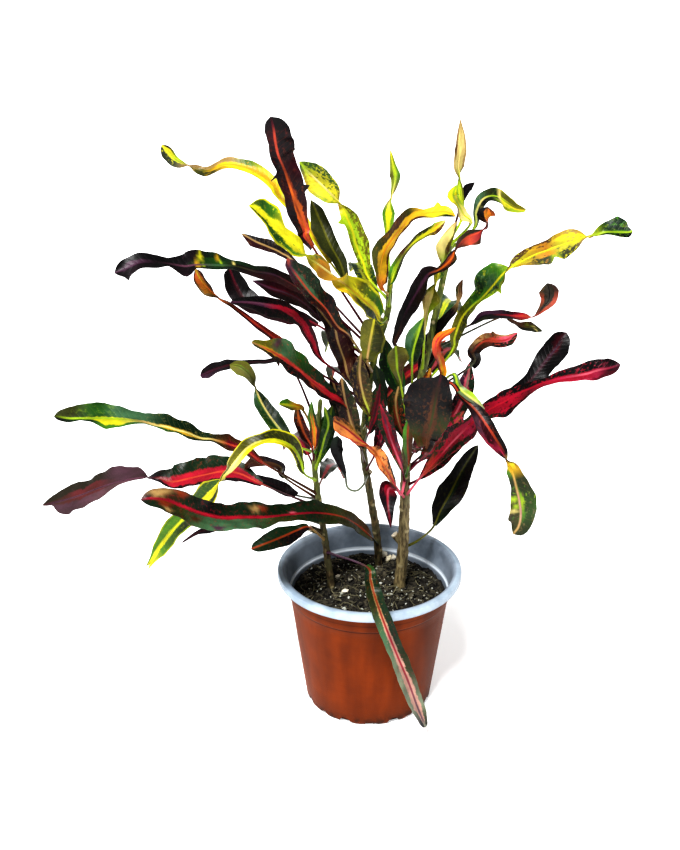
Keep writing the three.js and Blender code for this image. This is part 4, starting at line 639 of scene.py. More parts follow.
         "10 black crimson coral .6 .4; 11 maroon red red .6; 12 ink orange amber amber .2 .8; "
         "13 ink orange black .2 .3"},
    {"set": "yellow", "root": 291, "stalk": "lime", "turns": [3, 5],
     "path": [(40, 325, 20, 0.9), (41, 339, 24, 2.2), (44, 351, 28, 6.5, 8), (47, 362, 31, 1.3),
         (49, 370, 34, 4.3, 3.6), (51, 378, 37, 1.4), (53, 389, 41, 6.3, 4.2),
         (57, 399, 45, 4.2, 3.5), (61, 409, 49, 1)],
     "looks": "0 lime cream cream .5; 1 cream lime cream cream .6; "
         "2 brown olive sand cream .8 .1; 3 lime olive lime lemon .5 .3; "
         "4 leaf lemon lemon lemon .5 1; 5 olive lime lime lime .5; "
         "6 cream brown cream cream 1 .25; 7 sand olive cream cream .8 .6; "
         "8 tan moss cream tan .5"},
    {"set": "green", "root": 274, "stalk": "lime", "turns": [7, 15], "speckle": 0.85,
     "spurs": [(5.35, 1, 5.6)],
     "spots": [(5.2, 0.5, 1.8, "black")],
     "path": [(60, 306, 8, 1.1, 1.5), (63, 320, 12, 3.7, 4.5), (68, 335, 16, 5.2, 5.9),
         (76, 345, 20, 6.6, 4.4), (82, 350, 23, 12.4, 2.2), (90, 360, 28, 14.4, 6.5),
         (96, 368, 32, 11.5, 5.7), (102, 374, 35, 1.1), (109, 378, 38, 2.8, 9.2),
         (120, 384, 40, 7.8, 12), (128, 387, 41, 9.9, 9.2), (132, 389, 42, 5.6, 9.1),
         (138, 391, 42, 9.8, 11.9), (147, 394, 43, 7, 11.9), (154, 397, 44, 2.1, 8.4),
         (161, 399, 45, 1.4, 1.1), (170, 401, 46, 7.7, 2.1), (179, 401, 46, 11.1, 4.9),
         (187, 401, 46, 7, 4.9), (190, 402, 46, 2.1)],
     "looks": "0 olive olive lime .2; 2 olive moss olive lemon .1; 3.3 green olive leaf lime .2; "
         "4.4 deep lime leaf lemon .3 .5; 5 green lime jade lemon .5 .6; "
         "6 leaf olive leaf lemon .5 .7; 7 lime brown lime lemon .3 .5; "
         "8 gold brown lemon lemon .6 .4; 9 moss brown gold lemon .55 .8; "
         "10 deep brown amber lemon .4 .8; 11 lime brown gold lemon .7 .6; "
         "12 deep gold lemon lemon .4 .8; 13 moss tan lemon lemon .5 .8; "
         "14.3 tan gold lemon lemon .6 .7; 15 lime brown lemon lime .5 .4; "
         "16 deep green lime .1 .4; 17.3 deep ink leaf lime .15 .3; 19 deep ink green lime .2"},
    {"set": "dark", "root": 315, "stalk": "maroon", "turns": [5],
     "path": [(74, 329, -40, 0.8), (84, 336, -54, 4), (96, 337, -64, 4.8), (108, 336, -74, 4, 4.9),
         (116, 336, -81, 2.4, 3.3), (122, 336, -85, 1), (127, 342, -88, 3.3, 2.5),
         (132, 349, -92, 6.6, 7.4), (132, 356, -95, 8.2), (130, 362, -98, 4.9, 4.1)],
     "looks": "0 ink moss black black .1; 1.5 plum ink black black .1; "
         "2.6 ink black wine crimson .2 .3; 3.5 wine rust red coral .8 .9; "
         "4.5 red brown coral coral .8 .9; 6 coral brown brown black .4 .3; 7 coral black ink .5; "
         "8 maroon brown ink ink .6 .7; 9 black moss ink ink .5"},
    {"set": "green", "root": 307, "stalk": "moss",
     "spots": [(3.2, 0.1, 2, "cream"), (2.6, -0.4, 1.7, "olive")],
     "path": [(96, 335, -100, 1.7), (105, 332, -108, 2.5), (112, 328, -114, 3.4, 4.2),
         (121, 327, -120, 5.1), (129, 324, -126, 0.7)],
     "looks": "0 brown rust brown .3; 2 brown ink black brown .3 .2; 4 moss lime moss .3 .2"},
    {"set": "dark", "root": 266, "stalk": "maroon", "speckle": 0.7, "spurs": [(3.15, -1, 3.2)],
     "path": [(76, 296, -24, 2.3, 3.9), (77, 307, -34, 4.7, 5.5), (84, 315, -42, 5.5, 7.1),
         (93, 316, -50, 7.2, 6.4), (102, 317, -58, 4.8, 7.2), (110, 323, -64, 0.8, 1.6)],
     "looks": "0 ink black grey .2; 1 black brown brown .3 .2; 2 tan brown brown coral .4 .5; "
         "3 brown black coral coral .5 .3; 4 tan deep pink red .7 .3; "
         "5 moss deep coral pink .5 .2"},
    {"set": "green", "root": 257, "stalk": "lime",
     "path": [(31, 297, 36, 1.5), (32, 309, 43, 6.5), (35, 321, 50, 7.9, 5.7), (39, 335, 56, 0.7)],
     "looks": "0 green deep jade lime .2; 1.5 jade deep green lime .5 .1; "
         "3 leaf deep lime lime .3 .2"},
    {"set": "green", "root": 241, "stalk": "lime", "margin": 1,
     "path": [(23, 279, 30, 1.1), (20, 291, 37, 3.7, 4.4), (19, 302, 43, 7.3, 8.7),
         (18, 312, 47, 6.5, 7.2)],
     "looks": "0 olive olive lime .2; 1 olive brown olive lime .2; 3 olive olive lime .2"},
    {"set": "dark", "root": 254, "stalk": "gold",
     "path": [(53, 284, 44, 1.1, 1.5), (53, 297, 50, 3.6), (50, 308, 55, 3.6, 4.3),
         (52, 318, 60, 4.3, 3.5), (63, 327, 66, 0.7, 1.1)],
     "looks": "0 orange lemon gold gold .6; 1 maroon orange orange gold .6 .8; "
         "2 coral maroon coral coral .7 .6; 3 orange rust red orange .4 .9; "
         "4 gold orange orange gold .8"},
    {"set": "dark", "root": 274, "stalk": "black", "speckle": 0.5,
     "path": [(44, 312, -6, 1.5), (49, 324, 0, 6, 4.5), (55, 332, 4, 4.5, 3.7),
         (61, 340, 8, 3, 3.7), (64, 347, 10, 0.7), (65, 353, 11, 2.6), (65, 358, 12, 2.9, 2.6),
         (67, 365, 13, 0.7)],
     "looks": "0 ink black black .2; 2 ink black black .2; 3 ink black mauve ink .2 .5; "
         "4 tan tan tan .2; 5.5 moss brown tan brown .5; 7 brown moss tan brown .2"},
    {"set": "dark", "root": 206, "stalk": "wine",
     "spots": [(5.7, -0.2, 4.2, "wine"), (5.2, 0, 3, "wine")],
     "path": [(83, 246, -54, 2.5), (97, 263, -70, 5, 4.1), (111, 274, -84, 5),
         (122, 284, -94, 5.9, 8.4), (131, 297, -104, 9.3, 11), (139, 309, -114, 10.2, 11.9),
         (144, 318, -121, 7.7, 8.5), (147, 323, -124, 3.4, 4.3)],
     "looks": "0 black maroon maroon wine .2; 3 ink black maroon .2; 5 ink maroon plum .2; "
         "7 ink black maroon .2"},
    {"set": "dark", "root": 181, "stalk": "pink", "speckle": 0.75,
     "path": [(42, 204, 18, 1.1), (55, 220, 26, 6.9, 5.4), (67, 235, 34, 9.8, 9.1),
         (77, 246, 40, 6, 11.2), (90, 258, 48, 6.6, 8.1), (103, 266, 55, 8, 13.1),
         (112, 272, 60, 5.8, 10.8), (122, 277, 65, 5, 5.7), (133, 282, 70, 3.6),
         (148, 286, 77, 5.6, 3.5), (164, 289, 83, 8.4, 4.9), (173, 292, 87, 9),
         (182, 294, 90, 7.6), (190, 297, 92, 2.8, 4.1)],
     "looks": "0 coral coral coral .6; 1 deep crimson red .5 .4; 2 black deep crimson pink .6 .5; "
         "3 deep maroon rose red .8 .6; 4 black deep crimson red .8; "
         "5 ink black crimson red .6 .7; 6 ink crimson crimson .3 .8; "
         "7 ink maroon wine crimson .2 .8; 8 ink wine crimson crimson .2 .9; "
         "9 ink crimson crimson rose .3 .9; 10 ink rose crimson pink .3 .9; "
         "11 black wine rose pink .2 .8; 12 black wine maroon rose .3 .6; "
         "13 ink maroon plum mauve .3 .5"},
    {"set": "green", "root": 247, "stalk": "red", "turns": [6], "speckle": 0.5,
     "spots": [(8.9, -0.62, 2.8, "lime"), (9.7, -0.7, 2.4, "cream"), (9.4, -0.35, 2.1, "lime")],
     "path": [(57, 281, 60, 1.1), (70, 270, 70, 2.5, 2.1), (82, 258, 80, 4.3, 5),
         (91, 245, 88, 5, 8.5), (98, 234, 92, 4.2, 7.8), (104, 224, 96, 3.5, 5.7),
         (108, 214, 99, 2.1, 2.8), (112, 207, 102, 4.2, 5.7), (116, 193, 106, 3.5, 9.9),
         (119, 181, 108, 5.7, 13.5), (121, 168, 108, 8.5, 12.1), (120, 157, 106, 8.6, 7.9),
         (116, 150, 104, 4.3, 2.9)],
     "looks": "0 ink black coral .2; 2 ink black maroon rust .2 .3; "
         "3 ink mauve maroon coral .15 .6; 4 ink rose maroon rust .15 .8; "
         "5.3 ink black rose maroon .2 .4; 6.4 gold brown lemon gold .9 .8; "
         "7 leaf gold gold gold .5; 7.6 deep green tan .1; 8.3 deep leaf tan .1 .15; "
         "9.2 moss green lime blush .12 .3; 10 moss green leaf blush .1 .3; "
         "11 moss deep deep tan .1 .2; 12 deep green tan .2"},
    {"set": "green", "root": 252, "stalk": "lime",
     "path": [(60, 288, 60, 1), (67, 278, 66, 2.9, 3.2), (76, 270, 72, 4.3, 3.6),
         (88, 260, 76, 0.7)],
     "looks": "0 jade green lime lime .3; 1 grey jade lime lime .5 .3; "
         "2 lime grey lime cream .6 .3; 3 grey cream grey .3"},
    {"set": "dark", "root": 133, "stalk": "olive", "speckle": 0.4,
     "bend": [(38, 143, -12), (47, 151, -30)],
     "path": [(52, 158, -40, 1.7), (57, 172, -46, 8.4, 7.6), (64, 187, -55, 11, 11.8),
         (71, 204, -66, 7.6, 10.2), (78, 218, -75, 5.9, 6.8), (84, 229, -82, 1.7)],
     "looks": "0 ink deep ink olive .1; 2 ink black deep olive .1 .3; 5 ink black moss .1 .2"},
    {"set": "dark", "root": 227, "stalk": "brown", "speckle": 0.8,
     "path": [(42, 225, 56, 1.5), (44, 236, 60, 10.3, 8.1), (47, 249, 64, 19.6, 11.6),
         (49, 263, 67, 22.3, 13.7), (51, 276, 69, 20, 11.4), (53, 285, 70, 11.4, 6.4),
         (53, 289, 70, 4.3, 2.8)],
     "looks": "0 brown black brown brown .3; 1 moss ink brown brown .4; "
         "2 ink moss brown moss .22 .4; 3 black ink brown moss .12 .2; 5 ink black maroon .2"},
    {"set": "dark", "root": 180, "stalk": "pink", "turns": [4], "speckle": 0.9,
     "path": [(21, 192, 18, 1.6), (16, 201, 24, 3.1, 3.9), (10, 212, 30, 5.4, 6.1),
         (4, 222, 36, 5.3, 6.1), (-1, 228, 42, 2.2), (-10, 235, 48, 4.5, 5.2),
         (-19, 243, 56, 8.1, 5.9), (-29, 250, 64, 5.8)],
     "looks": "0 maroon black crimson red .6 .5; 1 rust black apricot red .9 .6; "
         "2 rust black apricot orange 1 .9; 3 rust brown apricot orange 1 .9; "
         "4 coral rust apricot red .8; 5 gold coral apricot red .8 .7; "
         "6 brown coral apricot red .5 .9; 7 mauve apricot apricot rust .4 .7"},
    {"set": "dark", "root": 202, "stalk": "pink",
     "bend": [(25, 186, 8)],
     "path": [(21, 190, 16, 1.6, 2), (15, 191, 26, 3.9, 7), (14, 183, 34, 7.7, 6.2),
         (15, 171, 42, 3.8, 3.1), (17, 156, 48, 0.6)],
     "looks": "0 crimson red pink .6; 1 crimson maroon crimson pink .4 .6; "
         "2 ink black maroon crimson .1 .2; 4 ink black maroon .1"},
    {"set": "green", "root": 193, "stalk": "wine", "speckle": 0.8,
     "path": [(25, 208, 14, 1.6), (20, 222, 18, 3.9), (15, 236, 22, 6.1), (11, 250, 26, 6.8, 6.1),
         (7, 264, 28, 1.5)],
     "looks": "0 green maroon crimson pink .5; 1.5 deep mauve crimson pink .5 .6; "
         "3 deep crimson plum .5; 4 deep maroon crimson red .4"},
    {"set": "green", "root": 198, "stalk": "leaf",
     "path": [(30, 213, 20, 1.2), (29, 228, 28, 3.8), (29, 242, 34, 3.8, 4.5), (31, 257, 38, 0.7)],
     "looks": "0 moss brown moss rust .2; 1.5 leaf brown green rust .2 .3; "
         "3 leaf green green rust .2"},
    {"set": "dark", "root": 206, "stalk": "wine", "speckle": 0.5,
     "path": [(47, 228, -34, 2.4), (60, 246, -52, 7.4), (70, 266, -66, 7.4),
         (74, 284, -76, 6.6, 5.8), (75, 299, -82, 0.8)],
     "looks": "0 maroon crimson coral .4; 2 black deep crimson pink .4 .3; "
         "3 plum deep pink grey .5 .2; 4 moss deep crimson pink .4"},
    {"set": "green", "root": 324, "stalk": "lime",
     "path": [(51, 335, -44, 2.4), (56, 347, -84, 8.1), (61, 347, -122, 8.4, 7.6),
         (66, 335, -152, 0.9)],
     "looks": "0 green lemon lime .4; 3 deep lime lemon .3"},
    {"set": "green", "root": 284, "stalk": "rust",
     "path": [(45, 291, -34, 2.4), (54, 306, -58, 8.1), (61, 309, -80, 8.2, 7.4),
         (69, 299, -98, 0.8)],
     "looks": "0 deep coral pink .3; 3 green pink pink .3"},
    {"set": "green", "root": 233, "stalk": "olive", "margin": 0.6,
     "path": [(38, 249, -34, 2.4), (47, 264, -72, 8.3), (53, 269, -112, 8.6, 7.8),
         (57, 258, -146, 0.9)],
     "looks": "0 olive lime lemon .3; 3 moss gold lime .35"},
    {"set": "dark", "root": 210, "stalk": "wine",
     "path": [(34, 223, -34, 2.4), (42, 235, -74, 8.4), (48, 239, -112, 8.7, 7.8),
         (53, 228, -142, 0.9)],
     "looks": "0 wine crimson pink .35; 3 black crimson coral .3"},
    {"set": "dark", "root": 233, "stalk": "wine", "speckle": 0.9,
     "path": [(35, 242, -8, 1.2), (43, 258, -12, 7.8), (50, 273, -16, 8.6, 7.8),
         (54, 288, -18, 1.6)],
     "looks": "0 maroon black crimson coral .4; 2 deep maroon rose coral .3 .4; "
         "3 black maroon crimson coral .3"},
    {"set": "dark", "root": 243, "stalk": "rust", "speckle": 0.9,
     "path": [(32, 256, 10, 1.2), (38, 268, 16, 4.6), (42, 280, 20, 5.3, 4.5), (45, 294, 22, 1.1)],
     "looks": "0 brown maroon rust orange .5; 2 rust brown orange orange .5 .6; "
         "3 moss brown orange gold .4"},
    {"set": "green", "root": 261, "stalk": "moss", "speckle": 0.5,
     "path": [(25, 269, -12, 1.2), (19, 284, -18, 8.6, 7.8), (13, 301, -22, 8.6, 7.8),
         (11, 317, -24, 1.2)],
     "looks": "0 deep green moss .2; 2 deep green leaf moss .2; 3 green deep leaf moss .2"},
    {"set": "dark", "root": 279, "stalk": "black", "speckle": 0.4,
     "path": [(37, 289, -8, 1.2), (42, 303, -13, 6.9, 6.2), (46, 317, -17, 6.9, 6.2),
         (50, 330, -19, 0.8)],
     "looks": "0 ink black black black .2; 2 black ink maroon black .3 .2; 3 ink black black .2"},
    {"set": "green", "root": 202, "stalk": "wine", "speckle": 1,
     "path": [(39, 216, -6, 1.2), (50, 228, -12, 9.5, 8.7), (62, 242, -18, 9.5, 8.7),
         (72, 258, -24, 1.6)],
     "looks": "0 deep black crimson wine .4; 1.5 deep moss crimson rust .5; "
         "3 moss deep rose rust .4 .3"},
    {"set": "dark", "root": 191, "stalk": "wine", "speckle": 1,
     "path": [(39, 200, 4, 1.2), (49, 211, 8, 7), (60, 221, 12, 7), (72, 228, 14, 1.2)],
     "looks": "0 maroon black crimson coral .5 .4; 1.5 black deep rose coral .4 .5; "
         "3 deep black crimson coral .4"},
    {"set": "green", "root": 222, "stalk": "moss", "speckle": 0.9,
     "path": [(26, 235, -6, 1.2), (21, 251, -10, 6.3), (19, 266, -12, 7, 6.3),
         (21, 279, -13, 1.2)],
     "looks": "0 deep black crimson wine .4; 1.5 moss deep rust tan .4 .3; "
         "3 deep moss moss tan .3"},
]}

leafShape = {
    "thickness": 0.5,
    "rowStep": 1.7,        # along a blade
    "fewestRows": 22,
    "columns": 14,         # across it
    "columnEase": 0.9,     # below 1, the columns are closer towards the edges
    "waveHeight": 0.08,    # of the blade's width
    "waveLength": 55,
    "waveLag": 2.2,        # of the right edge's wave behind the left one's, in radians
    "trough": 0.12,
    "troughCurve": 1.35,
    "ruffle": 0.04,
    "ruffleLength": 21,
    "ruffleCurve": 2.4,
    "unevenness": 0.05,
    "unevenLength": 11,
    "softening": 1.6,      # how far the traced widths are smoothed, either way
    "narrowest": 0.3,
    "tipLength": 4.5,      # where a blade closes
    "turnLength": 22,      # that one half turn takes
    "spurLength": 2.6,
    "stalkSides": 8,
    "stalkStep": 2.2,
    "stalkRadius": 1.15,
    "stalkTaper": 0.25,
    "rootRadius": 2.0,     # the swollen foot of a stalk
    "footLength": 3.0,
    "midribRings": 60,
    "midribRadius": 0.86,
    "midribTaper": 0.6,
    "midribDrop": 0.45,    # of its radius, below the blade
    "midribEnd": 0.985,    # of the blade's length
}


# ---------- curves ----------

def curveThrough(points, perSpan=24):
    points = np.array(points, float)
    padded = np.vstack([2 * points[0] - points[1], points, 2 * points[-1] - points[-2]])
    spans = len(points) - 1
    t = np.linspace(0, spans, spans * perSpan + 1)
    i = np.minimum(t.astype(int), spans - 1)
    w = (t - i)[:, None]
    before, start, end, after = (padded[i + k] for k in range(4))
    out, back = (end - before) / 2, (after - start) / 2
    bend, twist = 3 * (end - start) - 2 * out - back, 2 * (start - end) + out + back
    places = start + w * out + w ** 2 * bend + w ** 3 * twist
    ways = unit(out + 2 * w * bend + 3 * w ** 2 * twist)
    steps = np.linalg.norm(np.diff(places, axis=0), axis=1)
    lengths = np.concatenate([[0], np.cumsum(steps)])
    return {"places": places, "ways": ways, "lengths": lengths, "perSpan": perSpan}


def along(curve, lengths, what="places"):
    return np.stack([np.interp(lengths, curve["lengths"], curve[what][:, k]) for k in range(3)], -1)


def onSheet(point):
    # a place in the upright plane through the pot's axis, moved forward along the line of sight
    across, up, forward = point
    start = np.array([across, 0.0, up])
    return start + (viewer - start) * (forward / -viewer[1])


def rolledFrame(ways, roll):
    across = unit(np.cross(ways, faceUp))
    outward = unit(np.cross(across, ways))
    cosine, sine = np.cos(roll)[:, None], np.sin(roll)[:, None]
    return across * cosine + outward * sine, outward * cosine - across * sine


stemCurves = {name: curveThrough(row["path"], 60) for name, row in stemRows.items()}


def onStem(name, height):
    places = stemCurves[name]["places"]
    return np.array([np.interp(height, places[:, 2], places[:, k]) for k in range(3)])


# ---------- grids laid in place ----------

def layGrid(name, places):
    rows, columns = places.shape[0] - 1, places.shape[1] - 1
    selectNone()
    bpy.ops.mesh.primitive_grid_add(x_subdivisions=columns, y_subdivisions=rows, size=1)
    piece = bpy.context.object
    piece.name = name
    piece.data.vertices.foreach_set("co", (places * mm).reshape(-1).astype(np.float32))
    piece.data.update()
    piece.data.uv_layers[0].name = "OFBake"
    return piece


def layRings(name, centre, across, outward, radii):  # radii has one row of values for each ring
    angles = np.linspace(0, 2 * np.pi, radii.shape[1])
    ring = (across[:, None, :] * np.cos(angles)[None, :, None]
            - outward[:, None, :] * np.sin(angles)[None, :, None])
    places = centre[:, None, :] + ring * radii[..., None]
    return layGrid(name, places[:, ::-1, :])


def layTube(name, centre, ways, radii):
    return layRings(name, centre, *rolledFrame(ways, np.zeros(len(ways))), radii)


def closeTube(piece):
    selectOnly(piece)
    bpy.ops.object.mode_set(mode="EDIT")
    bpy.ops.mesh.select_all(action="SELECT")
    bpy.ops.mesh.remove_doubles(threshold=0.01 * mm)
    bpy.ops.mesh.select_all(action="DESELECT")
    bpy.ops.mesh.select_mode(type="EDGE")
    bpy.ops.mesh.select_non_manifold(extend=False)
    bpy.ops.mesh.edge_face_add()
    bpy.ops.object.mode_set(mode="OBJECT")


def paint(piece, name, values, colour=False):
    kind = "FLOAT_COLOR" if colour else "FLOAT_VECTOR"
    layer = piece.data.attributes.new(name, kind, "POINT")
    layer.data.foreach_set("color" if colour else "vector", values.reshape(-1).astype(np.float32))


def readCorners(mesh):  # the vertex at each face corner
    corners = np.zeros(len(mesh.loops), int)
    mesh.loops.foreach_get("vertex_index", corners)
    return corners


def readUv(mesh):
    flat = np.zeros(len(mesh.loops) * 2)
    mesh.uv_layers["OFBake"].data.foreach_get("uv", flat)
    return flat.reshape(-1, 2)


def writeUv(mesh, flat):
    mesh.uv_layers["OFBake"].data.foreach_set("uv", flat.reshape(-1).astype(np.float32))


def wobble(x, seed):
    return (np.sin(2.1 * x + seed) + 0.6 * np.sin(4.7 * x + 1.7 * seed)
            + 0.4 * np.sin(9.3 * x + 2.9 * seed)) / 2


# ---------- leaves ----------

def leafCurve(stem, leaf):
    ahead = [onStem(stem, leaf["root"])] + [onSheet(point) for point in leaf.get("bend", [])]
    curve = curveThrough(ahead + [onSheet(point[:3]) for point in leaf["path"]])
    marks = curve["lengths"][::curve["perSpan"]][len(ahead):]
    stalk = marks[0]
    blade = marks[-1] - stalk
    return curve, stalk, blade, (marks - stalk) / blade


def leafSeed(stem, number):
    return number * 1.37 + len(stem)


def alongBlade(marks, point):  # place from 0 to 1 of a point of the path
    return np.interp(point, np.arange(len(marks)), marks)


def rollAt(leaf, v, blade, marks):
    half = leafShape["turnLength"] / 2 / blade
    turned = np.zeros_like(v)
    for turn in leaf.get("turns", []):
        at = alongBlade(marks, turn)
        turned = turned + smoothStep(at - half, at + half, v)
    return math.pi * turned


def halfWidth(leaf, v, seed, side, blade, marks):
    steps = 600
    fine = np.linspace(0, 1, steps + 1)
    widths = np.interp(fine, marks, [point[3 if side < 0 else -1] for point in leaf["path"]])
    reach = max(3, round(leafShape["softening"] / blade * steps))
    weights = np.hanning(2 * reach + 1)
    padded = np.pad(widths, reach, mode="edge")
    widths = np.convolve(padded, weights / weights.sum(), mode="valid")
    half = np.interp(v, fine, widths)
    uneven = wobble(v * blade / leafShape["unevenLength"], seed + 2 * side)
    half = half * (1 + leafShape["unevenness"] * uneven)
    for place, spurSide, size in leaf.get("spurs", []):
        if spurSide == side:
            gap = abs(v - alongBlade(marks, place)) * blade / leafShape["spurLength"]
            half = half + size * np.clip(1 - gap, 0, 1) ** 1.6
    if not leaf.get("fork"):
        end = np.clip(1 - (1 - v) * blade / leafShape["tipLength"], 0, 1)
        half = half * (1 - end ** 2) ** 0.6
    return np.maximum(half, leafShape["narrowest"])


def readLooks(text):
    places, colours, reaches = [], [], []
    for entry in text.split(";"):
        place, *words = entry.split()
        names = [word for word in words if word in leafColours]
        reach = [float(word) for word in words[len(names):]]
        places.append(float(place))
        colours.append([linear(leafColours[name]) for name in [names[0]] + names[-3:]])
        reaches.append([reach[0], reach[-1]])
    return places, np.array(colours), np.array(reaches)


def looksAlong(leaf, v, marks):
    # the colours of left edge, right edge, inside and midrib, then the reach to left and right
    places, colours, reaches = readLooks(leaf["looks"])
    places = [alongBlade(marks, place) for place in places]
    blended = [np.stack([np.interp(v, places, colours[:, part, k]) for k in range(4)], -1)
               for part in range(4)]
    return blended + [np.interp(v, places, reaches[:, side]) for side in range(2)]


def bladePlaces(leaf, number, seed, blade, v, s, half, ribFrame):
    centre, ways, across, outward = ribFrame
    onLeft = s[None, :] < 0
    away = np.abs(s)[None, :]
    waves = max(1.5, blade / leafShape["waveLength"])
    sway = 2 * np.pi * waves * v + number
    spread = smoothStep(-0.05, 0.12, v)
    ripple = spread * leafShape["waveHeight"] * 2
    lift = spread * leafShape["trough"] * 2
    edgeLeft = lift + ripple * np.sin(sway)
    edgeRight = lift + ripple * np.sin(sway + leafShape["waveLag"])
    rise = np.where(onLeft, edgeLeft[:, None], edgeRight[:, None]) * half
    ruffles = 2 * np.pi * blade / leafShape["ruffleLength"] * v
    small = np.where(onLeft, np.sin(ruffles + seed)[:, None],
                     np.sin(ruffles * 1.13 + 2 * seed)[:, None])
    small = small * leafShape["ruffle"] * 2 * half
    height = (rise * away ** leafShape["troughCurve"]
              + small * spread[:, None] * away ** leafShape["ruffleCurve"])
    places = (centre[:, None, :] + across[:, None, :] * (half * s[None, :])[..., None]
              + outward[:, None, :] * height[..., None])
    if leaf.get("fork"):
        middle = smoothStep(0.86, 1, v)[:, None] * np.clip(1 - (away / 0.55) ** 1.3, 0, 1)
        corners = smoothStep(0.9, 1, v)[:, None] * np.clip((away - 0.6) / 0.4, 0, 1) ** 2
        cut = leaf["fork"] * middle + leaf["fork"] * corners
        places = places - ways[:, None, :] * cut[..., None]
    return places


def makeBlade(stem, leaf, number, strips):
    curve, stalk, blade, marks = leafCurve(stem, leaf)
    seed = leafSeed(stem, number)
    rows = max(leafShape["fewestRows"], round(blade / leafShape["rowStep"]))
    columns = leafShape["columns"]
    v = np.linspace(0, 1, rows + 1)
    s = np.linspace(-1, 1, columns + 1)
    s = np.sign(s) * np.abs(s) ** leafShape["columnEase"]
    onLeft = s[None, :] < 0
    left, right = (halfWidth(leaf, v, seed, side, blade, marks) for side in (-1, 1))
    half = np.where(onLeft, left[:, None], right[:, None])
    ways = along(curve, stalk + blade * v, "ways")
    across, outward = rolledFrame(ways, rollAt(leaf, v, blade, marks))
    ribFrame = along(curve, stalk + blade * v), ways, across, outward
    piece = layGrid("blade", bladePlaces(leaf, number, seed, blade, v, s, half, ribFrame))
    count, faces = len(piece.data.vertices), len(piece.data.polygons)
    applyModifier(piece, "SOLIDIFY", thickness=leafShape["thickness"] * mm, offset=0,
                  use_even_offset=False)

    v2, s2 = np.broadcast_arrays(v[:, None], s[None, :])
    leftEdge, rightEdge, inside, midrib, reachLeft, reachRight = looksAlong(leaf, v, marks)
    outer = np.where(onLeft[..., None], leftEdge[:, None, :], rightEdge[:, None, :])
    inner = np.repeat(inside[:, None, :], columns + 1, axis=1)
    rib = np.repeat(midrib[:, None, :], columns + 1, axis=1)
    reach = np.where(onLeft, reachLeft[:, None], reachRight[:, None])
    for place, side, size, colour in leaf.get("spots", []):
        at = alongBlade(marks, place)
        gap = np.hypot((v2 - at) * blade, (s2 - side) * half) / size
        bearing = np.arctan2((s2 - side) * half, (v2 - at) * blade)
        gap = gap * (1 + 0.3 * np.sin(2 * bearing + seed) + 0.2 * np.sin(5 * bearing + 2 * seed))
        weight = np.exp(-(gap ** 3))[..., None]
        spot = np.array(linear(leafColours[colour]))
        outer = outer * (1 - weight) + spot * weight
        inner = inner * (1 - weight) + spot * weight
    aside = s2 * half

    def onBothFaces(name, values, colour=False):
        paint(piece, name, np.concatenate([values.reshape(count, -1)] * 2), colour)

    onBothFaces("outerColour", outer, colour=True)
    onBothFaces("innerColour", inner, colour=True)
    onBothFaces("ribColour", rib, colour=True)
    onBothFaces("sheet", np.stack([v2 * blade, aside, s2], -1))        # mm, mm, -1 to 1
    onBothFaces("zone", np.stack([reach, np.full_like(reach, leaf.get("speckle", 0.12)),
                                  np.full_like(reach, leaf.get("margin", 0.0))], -1))
    under = np.concatenate([np.zeros(count), np.ones(count)])
    paint(piece, "leafSide", np.stack([under, np.full(2 * count, seed * 3.1), under * 0], -1))

    mesh = piece.data          # front, back and edge get strips of their own, still in millimetres
    corners = readCorners(mesh)
    sizes = np.zeros(len(mesh.polygons), int)
    mesh.polygons.foreach_get("loop_total", sizes)
    owner = np.repeat(np.arange(len(mesh.polygons)), sizes)
    widest = max(left.max(), right.max())
    length = (v2 * blade).reshape(-1)[corners % count]
    breadth = (aside + widest).reshape(-1)[corners % count]
    strip = widest * 2 + 1
    shift = np.where(owner < faces, 0, np.where(owner < 2 * faces, strip, 2 * strip))
    edge = np.where(corners < count, 0.0, 0.8) + np.where(breadth > widest, 1.2, 0)
    sideways = np.where(owner < 2 * faces, breadth, edge) + shift + strips["next"]
    strips["next"] += 2 * strip + 3
    writeUv(mesh, np.stack([length, sideways], -1))
    return piece


